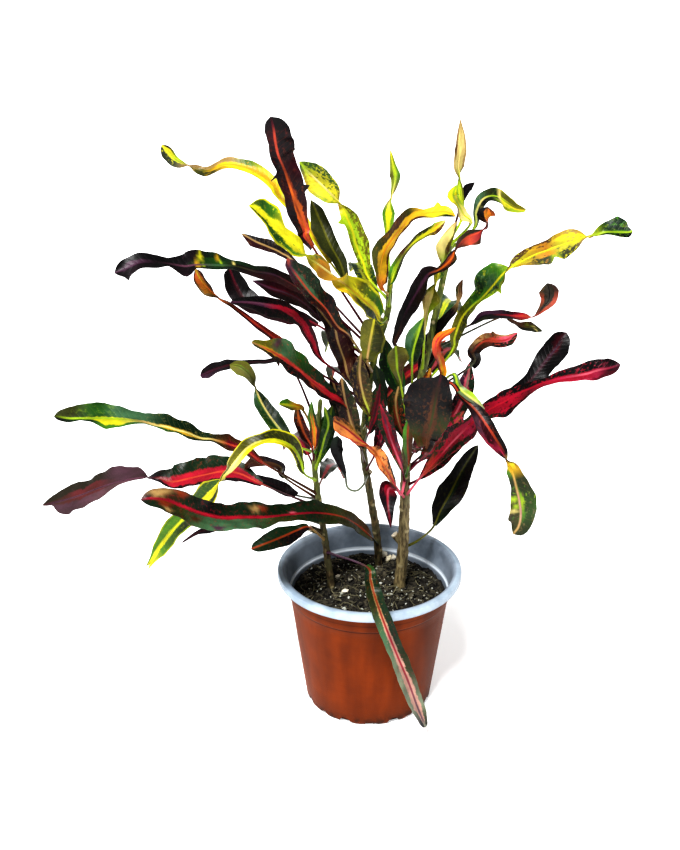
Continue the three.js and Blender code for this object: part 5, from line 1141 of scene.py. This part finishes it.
def makeStalk(stem, leaf, number, strips):  # it runs on as the midrib under the blade
    curve, stalk, blade, marks = leafCurve(stem, leaf)
    sides = leafShape["stalkSides"]
    lengths = np.concatenate([
        np.arange(0, stalk, leafShape["stalkStep"]),
        np.linspace(stalk, stalk + blade * leafShape["midribEnd"], leafShape["midribRings"])])
    v = np.clip((lengths - stalk) / blade, 0, 1)
    foot = np.exp(-lengths / leafShape["footLength"])
    taper = 1 - leafShape["stalkTaper"] * smoothStep(4, stalk * 0.6 + 5, lengths)
    radius = leafShape["stalkRadius"] * taper
    radius = radius + (leafShape["rootRadius"] - leafShape["stalkRadius"]) * foot
    midrib = leafShape["midribRadius"] * (1 - leafShape["midribTaper"] * v)
    radius = np.where(lengths > stalk, midrib, radius)
    across, outward = rolledFrame(along(curve, lengths, "ways"), rollAt(leaf, v, blade, marks))
    drop = leafShape["midribDrop"] * radius * smoothStep(0, 0.1, v)
    centre = along(curve, lengths) - outward * drop[:, None]
    radii = np.repeat(radius[:, None], sides + 1, axis=1)
    piece = layRings("stalk", centre, across, outward, radii)

    def roundTube(name, values, colour=False):
        paint(piece, name, np.repeat(values[:, None, :], sides + 1, axis=1), colour)

    stalkColour = np.array(linear(leafColours[leaf["stalk"]]))
    blend = smoothStep(stalk * 0.75, stalk + blade * 0.06, lengths)[:, None]
    colour = looksAlong(leaf, v, marks)[3] * blend + stalkColour * (1 - blend)
    for name in ("outerColour", "innerColour", "ribColour"):
        roundTube(name, colour, colour=True)
    level = np.ones_like(v)
    roundTube("sheet", np.stack([lengths, 6 * level, 0.5 * level], -1))
    roundTube("zone", np.zeros((len(v), 3)))
    roundTube("leafSide", np.stack([0 * v, leafSeed(stem, number) * 3.1 * level, level], -1))
    flat = readUv(piece.data)
    flat[:, 1] = strips["next"] + flat[:, 0] * 6
    flat[:, 0] = lengths[readCorners(piece.data) // (sides + 1)]
    writeUv(piece.data, flat)
    strips["next"] += 7
    closeTube(piece)
    return piece


def leafMaterial():
    material, shader, wire = newMaterial("crotonLeaf", (0.2, 0.3, 0.05, 1))
    outer = wire.attribute("outerColour", "Color")
    inner = wire.attribute("innerColour", "Color")
    rib = wire.attribute("ribColour", "Color")
    down, aside, ratio = wire.attribute("sheet").parts()
    reach, speckle, margin = wire.attribute("zone").parts()
    under, seed, onStalk = wire.attribute("leafSide").parts()
    away = abs(ratio)
    offset = abs(aside)
    sheet = wire.vector(down, aside, seed)

    # side veins leave the midrib at a slant, and the inner colour follows them outwards
    half = aside.of("SIGN")
    warp = sheet.scaled((0.09, 0.09, 1.0)).noise(1.0, 2.0)
    phase = (down - offset * 0.8 + half * 1.7 + warp * 4.0) / 4.6
    lane = phase.of("FLOOR")
    inLane = abs(phase.of("FRACT") - 0.5)
    vein = inLane.ramp(0.40, 0.49) * (1 - away.ramp(0.7, 0.97))
    laneNoise = wire.vector(lane * 0.37, half * 3.3, seed).noise(1.7, 1.0)
    patches = sheet.scaled((0.13, 0.2, 1.0)).noise(1.0, 3.0)
    torn = sheet.scaled((0.5, 0.7, 1.0)).noise(1.0, 2.0)
    reachHere = reach * (0.6 + laneNoise * 0.6 + (patches - 0.5) * 0.8) + (torn - 0.5) * 0.24
    insideZone = (1 - away.ramp(reachHere - 0.06, reachHere + 0.08)) * reach.ramp(0.02, 0.1)

    spotNoise = sheet.scaled((0.34, 0.46, 1.0)).noise(1.0, 3.0, 0.6)
    inSpots = spotNoise.ramp(0.68 - speckle * 0.16, 0.73 - speckle * 0.16)
    outSpots = (1 - spotNoise).ramp(0.69 - speckle * 0.14, 0.74 - speckle * 0.14)
    zone = insideZone * (1 - outSpots * 0.85)
    zone = zone.maths("MAXIMUM", zone, (1 - insideZone) * inSpots * speckle.ramp(0.05, 0.5) * 0.8)
    colour = zone.mix(outer, inner)

    colour = (vein * (0.02 + laneNoise * 0.16) * (1 - away * 0.7)).mix(colour, rib)
    ribMask = 1 - offset.ramp(0.45, 1.25)
    colour = (ribMask * 0.9).mix(colour, rib)
    edge = (away + (torn - 0.5) * 0.10).ramp(0.82, 0.92) * margin
    colour = edge.mix(colour, inner)
    mottle = sheet.scaled((0.24, 0.34, 1.0)).noise(1.0, 5.0, 0.65)
    colour = (mottle.ramp(0.54, 0.66) * (0.12 + speckle * 0.3) * (1 - insideZone)).mix(colour, rib)
    tone = sheet.scaled((0.05, 0.12, 1.0)).noise(1.0, 4.0)
    colour = colour.times(tone.ramp(0.3, 0.7).mix((0.58, 0.60, 0.58, 1), (1.12, 1.12, 1.12, 1)))
    colour = (under * (1 - onStalk) * 0.2).mix(colour, (0.10, 0.08, 0.04, 1))
    feed(shader, colour, "Base Color")

    fine = sheet.scaled((1.3, 1.3, 1.0)).noise(1.0, 3.0)
    feed(shader, 0.24 + fine * 0.14 + tone * 0.16 + under * 0.2, "Roughness")
    height = vein * -0.2 + fine * 0.2 + patches * 0.9 + (inLane - 0.25) * -0.3
    feedBump(shader, height, 0.5, 0.0006)
    shader.inputs["Specular IOR Level"].default_value = 0.22
    return material


leafFinish = leafMaterial()
leafSetNames = {"green": "green", "dark": "maroon", "yellow": "yellow"}

for stem, rows in leafRows.items():
    for kind, word in leafSetNames.items():
        strips = {"next": 2.0}
        parts = []
        for number, leaf in enumerate(rows):
            if leaf["set"] == kind:
                parts.append(makeBlade(stem, leaf, number, strips))
                parts.append(makeStalk(stem, leaf, number, strips))
        group = joinAll(parts, f"leaves_{stem}_{word}")
        dress(group, leafFinish, smooth=50)
        flat = readUv(group.data)
        flat[:, 0] /= flat[:, 0].max() + 2
        flat[:, 1] /= strips["next"] + 2
        writeUv(group.data, flat)
        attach(group, "root")
        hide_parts(f"leafy_stem_{stem}")
    print("leaves of the", stem, "stem laid")


# ---------- stems ----------

stemShape = {
    "sides": 20,
    "step": 1.4,
    "tipLength": 3.5,
    "scarless": 8.0,       # at either end
    "scarGap": 10.5,
    "scarTurn": 2.4,
    "scarLength": 2.0,
    "scarSpread": 0.75,    # in radians
    "scarRim": 0.5,
    "ringHeight": 0.28,    # of the node above each scar
    "ringAbove": 1.2,
    "ringLength": 1.1,
    "barkDepth": 0.32,
    "stubSizes": [1, 0.97, 0.94, 0.93, 0.92, 0.93, 0.94, 0.93, 0.9],
    "cutSizes": [0.7, 0.4, 0.05],
}


def makeStem(name):
    row = stemRows[name]
    curve = stemCurves[name]
    total = curve["lengths"][-1]
    lengths = np.arange(0, total + 0.1, stemShape["step"])
    t = lengths / total
    centre, ways = along(curve, lengths), along(curve, lengths, "ways")
    sides = stemShape["sides"]
    angles = np.linspace(0, 2 * np.pi, sides + 1)
    foot, top = row["radii"]
    radii = (foot + (top - foot) * t)[:, None] + 0 * angles[None, :]
    radii = radii * (1 - 0.5 * smoothStep(total - stemShape["tipLength"], total, lengths))[:, None]
    scars = np.zeros_like(radii)
    place = stemShape["scarless"]
    turn = len(name)
    while place < total - stemShape["scarless"]:
        gap = np.arctan2(np.sin(angles - turn), np.cos(angles - turn))
        size = np.hypot((lengths[:, None] - place) / stemShape["scarLength"],
                        gap[None, :] / stemShape["scarSpread"])
        scars = np.maximum(scars, np.exp(-size ** 2))
        above = lengths - place - stemShape["ringAbove"]
        ring = np.exp(-(above / stemShape["ringLength"]) ** 2)[:, None]
        rim = np.exp(-size ** 2) * np.abs(np.tanh(size * 2))
        radii = radii + stemShape["ringHeight"] * ring + stemShape["scarRim"] * rim
        place += stemShape["scarGap"] * (0.8 + 0.4 * random.random())
        turn += stemShape["scarTurn"]
    for i in range(len(lengths)):
        for j in range(sides + 1):
            point = Vector((math.cos(angles[j % sides]) * 1.3, math.sin(angles[j % sides]) * 1.3,
                            lengths[i] * 0.16 + turn))
            radii[i, j] += stemShape["barkDepth"] * noise.fractal(point, 0.8, 2.2, 4)
    radii[:, -1] = radii[:, 0]
    stem = layTube("stem", centre, ways, radii)
    wood = 1 - smoothStep(0.30, 0.85, t)[:, None] + 0 * scars
    paint(stem, "bark", np.stack([scars[:, ::-1], wood, 0 * scars], -1))
    closeTube(stem)

    stub = row["stub"]
    end = stub["length"]
    way = unit(np.array(stub["lean"], float))
    lengths = np.concatenate([np.linspace(0, end, len(stemShape["stubSizes"])),
                              [end + 0.1] * len(stemShape["cutSizes"])])
    sizes = np.array(stemShape["stubSizes"] + stemShape["cutSizes"])[:, None]
    centre = onStem(name, stub["height"]) + way * lengths[:, None]
    radii = stub["radius"] * sizes + 0.12 * np.sin(3 * angles + 1)[None, :] * sizes
    radii[:, -1] = radii[:, 0]
    cut = layTube("stub", centre, np.repeat(way[None, :], len(lengths), axis=0), radii)
    pale = (lengths >= end - 0.6).astype(float)[:, None] + 0 * radii
    paint(cut, "bark", np.stack([0 * pale, 1 + 0 * pale, pale], -1))
    closeTube(cut)
    return joinAll([stem, cut], f"stem_{name}")


def barkMaterial():
    material, shader, wire = newMaterial("crotonBark", (0.2, 0.15, 0.1, 1))
    scar, wood, cut = wire.attribute("bark").parts()
    place = wire.place()
    x, _, z = place.parts()
    streaks = place.scaled((1, 1, 0.22)).noise(520, 4.0, 0.6)
    blotches = place.noise(140, 3.0)
    young = streaks.ramp(0.3, 0.75).mix("35401A", "7C8638")
    old = streaks.ramp(0.32, 0.72).mix("2E2418", "7E6E4C")
    old = blotches.ramp(0.45, 0.62).mix(old, "5A563A")
    pale = streaks.ramp(0.32, 0.7).mix("54482E", "A89870")    # low on the right-hand stem
    old = (x.ramp(0.019, 0.024) * (1 - z.ramp(0.15, 0.2)) * 0.8).mix(old, pale)
    colour = wood.mix(young, old)
    colour = (scar.ramp(0.35, 0.8) * 0.75).mix(colour, "B7AA84")
    colour = cut.mix(colour, streaks.mix("B8A888", "E8E0D0"))
    feed(shader, colour, "Base Color")
    feed(shader, 0.55 + streaks * 0.3, "Roughness")
    feedBump(shader, streaks + blotches * 0.6, 0.7, 0.0008)
    return material


random.seed(11)
barkFinish = barkMaterial()
for name in stemRows:
    piece = makeStem(name)
    dress(piece, barkFinish, smooth=60)
    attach(piece, "root")
    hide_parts(f"leafy_stem_{name}")
print("stems grown")


# ---------- pot ----------

potShape = {
    "sides": 128,
    "baseRadius": 52,
    "slope": (67.1 - 52) / 113.5,      # of the wall, out for each millimetre up
    "wall": 1.2,
    "foot": [(49.4, 0), (50.6, 0.35), (51.6, 1.1)],        # radius, height
    "outside": [2.6, 4, 30, 60, 90],
    "stepHeight": 98,
    "step": [(-0.1, 97.4), (0.5, 98.2), (1.2, 99.0), (1.45, 99.9)],    # beyond the wall, height
    "rim": [(67.6, 106), (68.4, 112.6), (68.9, 113.4), (73.4, 112.9), (74.5, 113.2), (75, 114.2),
            (75, 118.2), (74.6, 119.4), (73.5, 120), (71.0, 120), (69.4, 119.5), (68.3, 118.2),
            (67.4, 115), (67.2, 111.5)],
    "ledge": [(0.35, 101.2), (0.1, 100.0), (-0.9, 99.2), (-1.25, 98.2)],
    "inside": [60, 30, 6],
    "corner": 2.0,         # between the wall's outside and the floor
    "floor": [(48.6, 1.6)],
    "notches": 8,          # of each size
    "bigNotch": (5.5, 9, 0),           # radius, depth, height of the middle
    "smallNotch": (4.4, 6, -0.6),
    "ragged": 3.0,
    "raggedHeight": 1.5,
    "raggedFrom": 49,
    "greyRimFrom": (112.5, 66),        # height, radius
    "greyLedgeFrom": 99,
    "greyInsideFrom": 3,
    "greyFloorBelow": 8,
}


def wallRadius(z):  # of the wall's outside
    return potShape["baseRadius"] + potShape["slope"] * z


def potProfile():
    step = wallRadius(potShape["stepHeight"])
    return (potShape["foot"]
            + [(wallRadius(z), z) for z in potShape["outside"]]
            + [(step + beyond, z) for beyond, z in potShape["step"]]
            + potShape["rim"]
            + [(step + beyond, z) for beyond, z in potShape["ledge"]]
            + [(wallRadius(z) - potShape["wall"], z) for z in potShape["inside"]]
            + [(wallRadius(3) - potShape["corner"], 3.2)]
            + potShape["floor"])


def makePot():
    piece = growRings(potProfile(), potShape["sides"])
    cutters = []
    out = potShape["baseRadius"] * mm
    for k in range(potShape["notches"] * 2):
        radius, depth, height = potShape["smallNotch" if k % 2 else "bigNotch"]
        angle = 2 * math.pi * (k / 2 + 0.5) / potShape["notches"] + math.pi / 2
        selectNone()
        bpy.ops.mesh.primitive_cylinder_add(
            vertices=24, radius=radius * mm, depth=depth * mm,
            location=(out * math.cos(angle), out * math.sin(angle), height * mm),
            rotation=(math.pi / 2, 0, angle + math.pi / 2))
        cutters.append(bpy.context.object)
    cutter = joinAll(cutters, "notchCutter")
    applyModifier(piece, "BOOLEAN", operation="DIFFERENCE", solver="EXACT", object=cutter)
    bpy.data.objects.remove(cutter, do_unlink=True)
    for vertex in piece.data.vertices:         # the ragged lower edge
        x, y, z = vertex.co / mm
        if z < potShape["raggedHeight"] and math.hypot(x, y) > potShape["raggedFrom"]:
            bearing = math.atan2(y, x)
            ragged = noise.noise(Vector((math.cos(bearing) * 7, math.sin(bearing) * 7, 4.0)))
            vertex.co.z += max(0.0, ragged) * potShape["ragged"] * mm
    piece.name = "nursery_pot"
    return piece


def terracottaPlastic():
    material, shader, wire = newMaterial("terracottaPlastic", (0.4, 0.09, 0.03, 1))
    place = wire.place()
    z = place.parts()[2]
    around = place.scaled((1, 1, 0.06)).noise(46, 3.0)
    cloud = place.noise(28, 4.0, 0.6)
    grain = place.noise(1900, 2.0)
    colour = (around * 0.6 + cloud * 0.4).ramp(0.3, 0.7).mix("5C2606", "843A0A")
    # dark streaks round the wall: painted shade, standing in for the darker middle of the wall's
    # front
    streaks = place.scaled((1, 1, 0.10)).noise(24, 3.0).ramp(0.42, 0.66)
    colour = (streaks * 0.6).mix(colour, "3C1604")
    # dark lines at the stacking step and a little below the rim: painted shade in the step's groove
    # and below the rim
    stepShadeLine = 1 - abs(z - 0.0972).ramp(0.0001, 0.0009)
    lipShadeLine = 1 - abs(z - 0.1045).ramp(0.0001, 0.0007)
    colour = (stepShadeLine * 0.8 + lipShadeLine * 0.45).mix(colour, "341204")
    # darker towards the bottom of the wall in cloudy patches, and darker still along the bottom
    # edge
    low = 1 - z.ramp(0.002, 0.026)
    colour = (low * cloud.ramp(0.3, 0.7) * 0.6).mix(colour, "3C1C0A")
    bottomEdgeDarkening = (1 - z.ramp(0.001, 0.0110)) * place.noise(150, 3.0).ramp(0.38, 0.55)
    colour = (bottomEdgeDarkening * 0.85).mix(colour, "2C1C12")
    scuffs = place.scaled((1, 1, 0.3)).noise(330, 5.0, 0.75).ramp(0.68, 0.8)
    colour = (scuffs * 0.25).mix(colour, "8C4420")
    feed(shader, colour, "Base Color")
    feed(shader, 0.46 + cloud * 0.18 + scuffs * 0.2, "Roughness")
    hoops = (z * 2600).of("SINE") * 0.5
    feedBump(shader, grain * 0.5 + around * 2.0 + hoops * 0.12, 0.35, 0.0005)
    shader.inputs["Specular IOR Level"].default_value = 0.12
    return material


def greyPlastic():
    material, shader, wire = newMaterial("greyPlastic", (0.4, 0.45, 0.5, 1))
    place = wire.place()
    x, y, z = place.parts()
    out = (x * x + y * y).of("SQRT")
    cloud = place.noise(36, 4.0, 0.6)
    specks = place.noise(900, 3.0, 0.7).ramp(0.66, 0.72)
    # painted light: the rim's top roll is a paler copy of the inside's grey
    rim = z.ramp(0.1125, 0.1155) * out.ramp(0.0700, 0.0718)
    inside = cloud.ramp(0.3, 0.7).mix("6E7884", "96A1AE")
    colour = rim.mix(inside, cloud.ramp(0.3, 0.7).mix("8797A6", "AEBCC8"))
    # a pale line along the inner ledge: a painted highlight
    ledge = 1 - abs(z - 0.1002).ramp(0.0006, 0.0022)
    colour = (ledge * 0.75).mix(colour, "D9E2EA")
    wet = (1 - z.ramp(0.0955, 0.1010)) * cloud.ramp(0.35, 0.65)
    colour = (wet * 0.6).mix(colour, "3A332C")
    colour = (specks * 0.5 * (1 - rim * 0.6)).mix(colour, "4A4038")
    feed(shader, colour, "Base Color")
    feed(shader, 0.36 + cloud * 0.2, "Roughness")
    feedBump(shader, cloud * 2.0 + place.noise(1500, 2.0) * 0.4, 0.3, 0.0005)
    return material


pot = makePot()
dress(pot, terracottaPlastic(), greyPlastic(), smooth=32)
rimHeight, rimRadius = potShape["greyRimFrom"]
for face in pot.data.polygons:
    height = face.center.z / mm
    out = math.hypot(face.center.x, face.center.y) / mm
    facingIn = face.normal.x * face.center.x + face.normal.y * face.center.y < 0
    isRim = height > rimHeight and out > rimRadius
    isInside = facingIn and height > potShape["greyInsideFrom"]
    isLedge = face.normal.z > 0.5 and height > potShape["greyLedgeFrom"]
    isFloor = face.normal.z > 0.8 and height < potShape["greyFloorBelow"]
    face.material_index = 1 if isRim or isInside or isLedge or isFloor else 0
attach(pot, "root")
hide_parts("pot")
print("pot moulded")


# ---------- soil ----------

soilShape = {
    "level": 96,
    "relief": 2.2,
    "baseRadius": 46.5,
    "baseHeight": 2.2,
    "inset": 2.2,          # from the wall's outside
    "topInset": 1.7,
    "topHeight": 95.5,
    "middleRadius": 0.6,
    "rings": 46,
    "sides": 160,
    "roughness": 1.7,
    "lumps": 0.6,
}
stemFeet = [(-31.3, 7.8, 3.3), (9.2, 44.0, 3.3), (25.2, 9.8, 5.0)]    # across, back, radius


def soilHeight(x, y):
    bumps = (math.sin(x * 0.31 + 0.6) * math.cos(y * 0.27)
             + 0.6 * math.sin(x * 0.13 - y * 0.19 + 1.3) + 0.4 * math.cos(x * 0.52 + y * 0.44))
    return soilShape["level"] + soilShape["relief"] * bumps * 0.5


def nearStem(x, y):
    return min(math.hypot(x - footX, y - footY) - radius for footX, footY, radius in stemFeet)


def makeSoil():
    inset = soilShape["inset"]
    top = wallRadius(94) - soilShape["topInset"]
    profile = [(soilShape["baseRadius"], soilShape["baseHeight"]), (wallRadius(6) - inset, 6),
               (wallRadius(50) - inset, 50), (top, 93.4)]
    for k in range(soilShape["rings"] + 1):
        inwards = k / soilShape["rings"]
        profile.append((top * (1 - inwards) + soilShape["middleRadius"] * inwards,
                        soilShape["topHeight"]))
    piece = growRings(profile, soilShape["sides"])
    for vertex in piece.data.vertices:
        if vertex.co.z > 94 * mm:
            x, y = vertex.co.x / mm, vertex.co.y / mm
            rough = noise.fractal(Vector((x * 0.16, y * 0.16, 3.0)), 0.7, 2.1, 5)
            lumps = noise.noise(Vector((x * 0.6, y * 0.6, 9.0)))
            vertex.co.z = (soilHeight(x, y) - 0.8 + rough * soilShape["roughness"]
                           + lumps * soilShape["lumps"]) * mm
    piece.name = "potting_mix"
    return piece


crumbShape = {"count": 2600, "sizes": (0.7, 2.1), "squash": (0.5, 0.9), "seed": 3,
              "spreadTo": 60.5, "lift": 0.2}
grainShape = {"count": 330, "sizes": (0.45, 1.25), "squash": (0.6, 0.9), "seed": 8,
              "spreadTo": 59.5, "lift": 1.1}
chipShape = {
    "count": 7, "sizes": (2.6, 3.6), "squash": (0.7, 0.9), "seed": 4, "spreadTo": 60, "lift": 1.6,
    "places": [(14, 56.5), (19, 53.5), (22, 50), (17, 51), (22.5, 53.5), (-20, -3), (-26, 24)],
}


def scatter(name, shape):
    selectNone()
    bpy.ops.mesh.primitive_ico_sphere_add(subdivisions=1, radius=1)
    source = bpy.context.object
    ball = np.array([v.co for v in source.data.vertices])
    faces = np.array([p.vertices for p in source.data.polygons])
    bpy.data.objects.remove(source, do_unlink=True)
    generator = np.random.default_rng(shape["seed"])
    given = shape.get("places")
    points, triangles, tones = [], [], []
    made = 0
    while made < shape["count"]:
        angle = generator.uniform(0, 2 * np.pi)
        out = shape["spreadTo"] * math.sqrt(generator.uniform(0, 1))
        x, y = given[made] if given else (out * math.cos(angle), out * math.sin(angle))
        size = generator.uniform(*shape["sizes"]) * (1 if generator.uniform() < 0.85 else 1.5)
        if not given and nearStem(x, y) < size * 0.8:
            continue
        lump = ball * (1 + 0.28 * generator.normal(size=(len(ball), 1)).clip(-1.2, 1.2))
        squash = [1, generator.uniform(0.5, 1), generator.uniform(*shape["squash"])]
        lump = lump * np.array(squash) * size
        turn, tilt = generator.uniform(0, 2 * np.pi), generator.normal() * 0.5
        c, s = math.cos(tilt), math.sin(tilt)
        lump = lump @ np.array([[1, 0, 0], [0, c, s], [0, -s, c]])
        c, s = math.cos(turn), math.sin(turn)
        lump = lump @ np.array([[c, s, 0], [-s, c, 0], [0, 0, 1]])
        z = soilHeight(x, y) + shape["lift"] + size * 0.15 * generator.uniform(-1, 1)
        points.append(lump + np.array([x, y, z]))
        triangles.append(faces + len(ball) * made)
        tones.append(np.full((len(ball), 3), [generator.uniform(), generator.uniform(), 0]))
        made += 1
    mesh = bpy.data.meshes.new(name)
    mesh.from_pydata((np.concatenate(points) * mm).tolist(), [],
                     np.concatenate(triangles).tolist())
    piece = bpy.data.objects.new(name, mesh)
    scene.collection.objects.link(piece)
    paint(piece, "tone", np.concatenate(tones))
    return piece


fibreShape = {
    "count": 320,
    "seed": 5,
    "spreadTo": 58,
    "farthest": 60,
    "lengths": (4, 12),
    "radii": (0.2, 0.5),
    "bend": 3,
    "rings": 7,
    "sides": 5,
}


def makeFibres(name, shape):
    generator = np.random.default_rng(shape["seed"])
    parts = []
    for _ in range(shape["count"]):
        angle = generator.uniform(0, 2 * np.pi)
        out = shape["spreadTo"] * math.sqrt(generator.uniform(0, 1))
        x, y = out * math.cos(angle), out * math.sin(angle)
        if nearStem(x, y) < 3:
            continue
        way, length = generator.uniform(0, 2 * np.pi), generator.uniform(*shape["lengths"])
        steps = np.linspace(-0.5, 0.5, shape["rings"])
        bend = generator.uniform(-shape["bend"], shape["bend"])
        xs = x + np.cos(way) * steps * length - np.sin(way) * bend * steps ** 2
        ys = y + np.sin(way) * steps * length + np.cos(way) * bend * steps ** 2
        if max(np.hypot(xs, ys)) > shape["farthest"]:
            continue
        zs = np.array([soilHeight(a, b) for a, b in zip(xs, ys)]) + 0.9 + generator.uniform(0, 0.8)
        zs = zs + np.abs(steps) * generator.uniform(-0.6, 1.6)
        centre = np.stack([xs, ys, zs], -1)
        radii = generator.uniform(*shape["radii"]) * (1 - 0.6 * np.abs(steps * 2) ** 3)
        radii = np.repeat(radii[:, None], shape["sides"], axis=1)
        part = layTube("fibre", centre, unit(np.gradient(centre, axis=0)), radii)
        tone = [generator.uniform(), generator.uniform(), 0]
        paint(part, "tone", np.full((radii.size, 3), tone))
        parts.append(part)
    piece = joinAll(parts, name)
    closeTube(piece)
    return piece


def mixMaterial(name, dark, mid, pale, scale):
    material, shader, wire = newMaterial(name, linear(dark))
    place = wire.place()
    large = place.noise(scale, 4.0, 0.6)
    fine = place.noise(scale * 9, 3.0, 0.6)
    colour = large.ramp(0.35, 0.65).mix(dark, mid)
    colour = fine.ramp(0.58, 0.72).mix(colour, pale)
    feed(shader, colour, "Base Color")
    feed(shader, 0.75 + fine * 0.2, "Roughness")
    feedBump(shader, fine + large, 0.9, 0.0012)
    return material


def toneMaterial(name, colours, roughness):
    colours = [linear(colour) for colour in colours]
    material, shader, wire = newMaterial(name, colours[0])
    tone = wire.attribute("tone").parts()[0]
    fine = wire.place().noise(1400, 3.0, 0.6)
    stops = [(i / (len(colours) - 1), c) for i, c in enumerate(colours)]
    colour = wire.node("ValToRGB", {"stops": stops}, {0: tone})
    colour = (fine.ramp(0.35, 0.7) * 0.6).mix(colour, fine.mix("000000", colours[-1]))
    feed(shader, colour, "Base Color")
    feed(shader, roughness + fine * 0.15, "Roughness")
    feedBump(shader, fine, 0.6, 0.0005)
    return material


soil = makeSoil()
dress(soil, mixMaterial("pottingMix", "0E0C09", "1C1813", "383226", 160), smooth=70)
crumbs = scatter("soil_crumbs", crumbShape)
dress(crumbs, toneMaterial("crumbBark", ["0A0907", "14110E", "28241B", "565040"], 0.8))
grains = scatter("soil_grains", grainShape)
dress(grains, toneMaterial("paleGrain", ["6A6450", "8A8674", "A4A89C", "D0D2CA"], 0.65))
fibres = makeFibres("soil_fibres", fibreShape)
dress(fibres, toneMaterial("strawFibre", ["2E2A1E", "545040", "8A8468"], 0.7))
chips = scatter("soil_chips", chipShape)
dress(chips, toneMaterial("paleChip", ["B4A888", "D8CFB4", "E8E2D0"], 0.7))
for piece in (soil, crumbs, grains, fibres, chips):
    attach(piece, "root")
    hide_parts("soil")
print("soil filled")


# ---------- floor and light ----------

studio = {
    "sky": 0.35,
    "sun": 3.9,
    "sunAngle": 16,
    "sunPlace": (-1.2, -1.2, 2.2),
    "sunWay": (0.22, 0.52, -0.84),
    "floorSize": 40,
    "floorGlow": 0.35,
}

selectNone()
bpy.ops.mesh.primitive_plane_add(size=studio["floorSize"], location=(0, 0, 0))
floor = bpy.context.object
floor.name = "studio_floor"
material, shader, wire = newMaterial("paleFloor", (1, 1, 1, 1))
feed(shader, wire.place().noise(3.0, 2.0).mix("F4F4F4", "FFFFFF"), "Base Color")
shader.inputs["Roughness"].default_value = 0.9
shader.inputs["Emission Color"].default_value = (1, 1, 1, 1)
shader.inputs["Emission Strength"].default_value = studio["floorGlow"]
floor.data.materials.append(material)

world = bpy.data.worlds.new("studioSky")
world.use_nodes = True
world.node_tree.nodes["Background"].inputs["Color"].default_value = (1, 1, 1, 1)
world.node_tree.nodes["Background"].inputs["Strength"].default_value = studio["sky"]
scene.world = world

selectNone()
bpy.ops.object.light_add(type="SUN", location=studio["sunPlace"])
keyLight = bpy.context.object
keyLight.name = "keyLight"
keyLight.data.energy = studio["sun"]
keyLight.data.angle = math.radians(studio["sunAngle"])
keyLight.rotation_euler = Vector(studio["sunWay"]).to_track_quat("-Z", "Y").to_euler()
scene.view_settings.view_transform = "Standard"
scene.view_settings.look = "High Contrast"
print("studio lit")
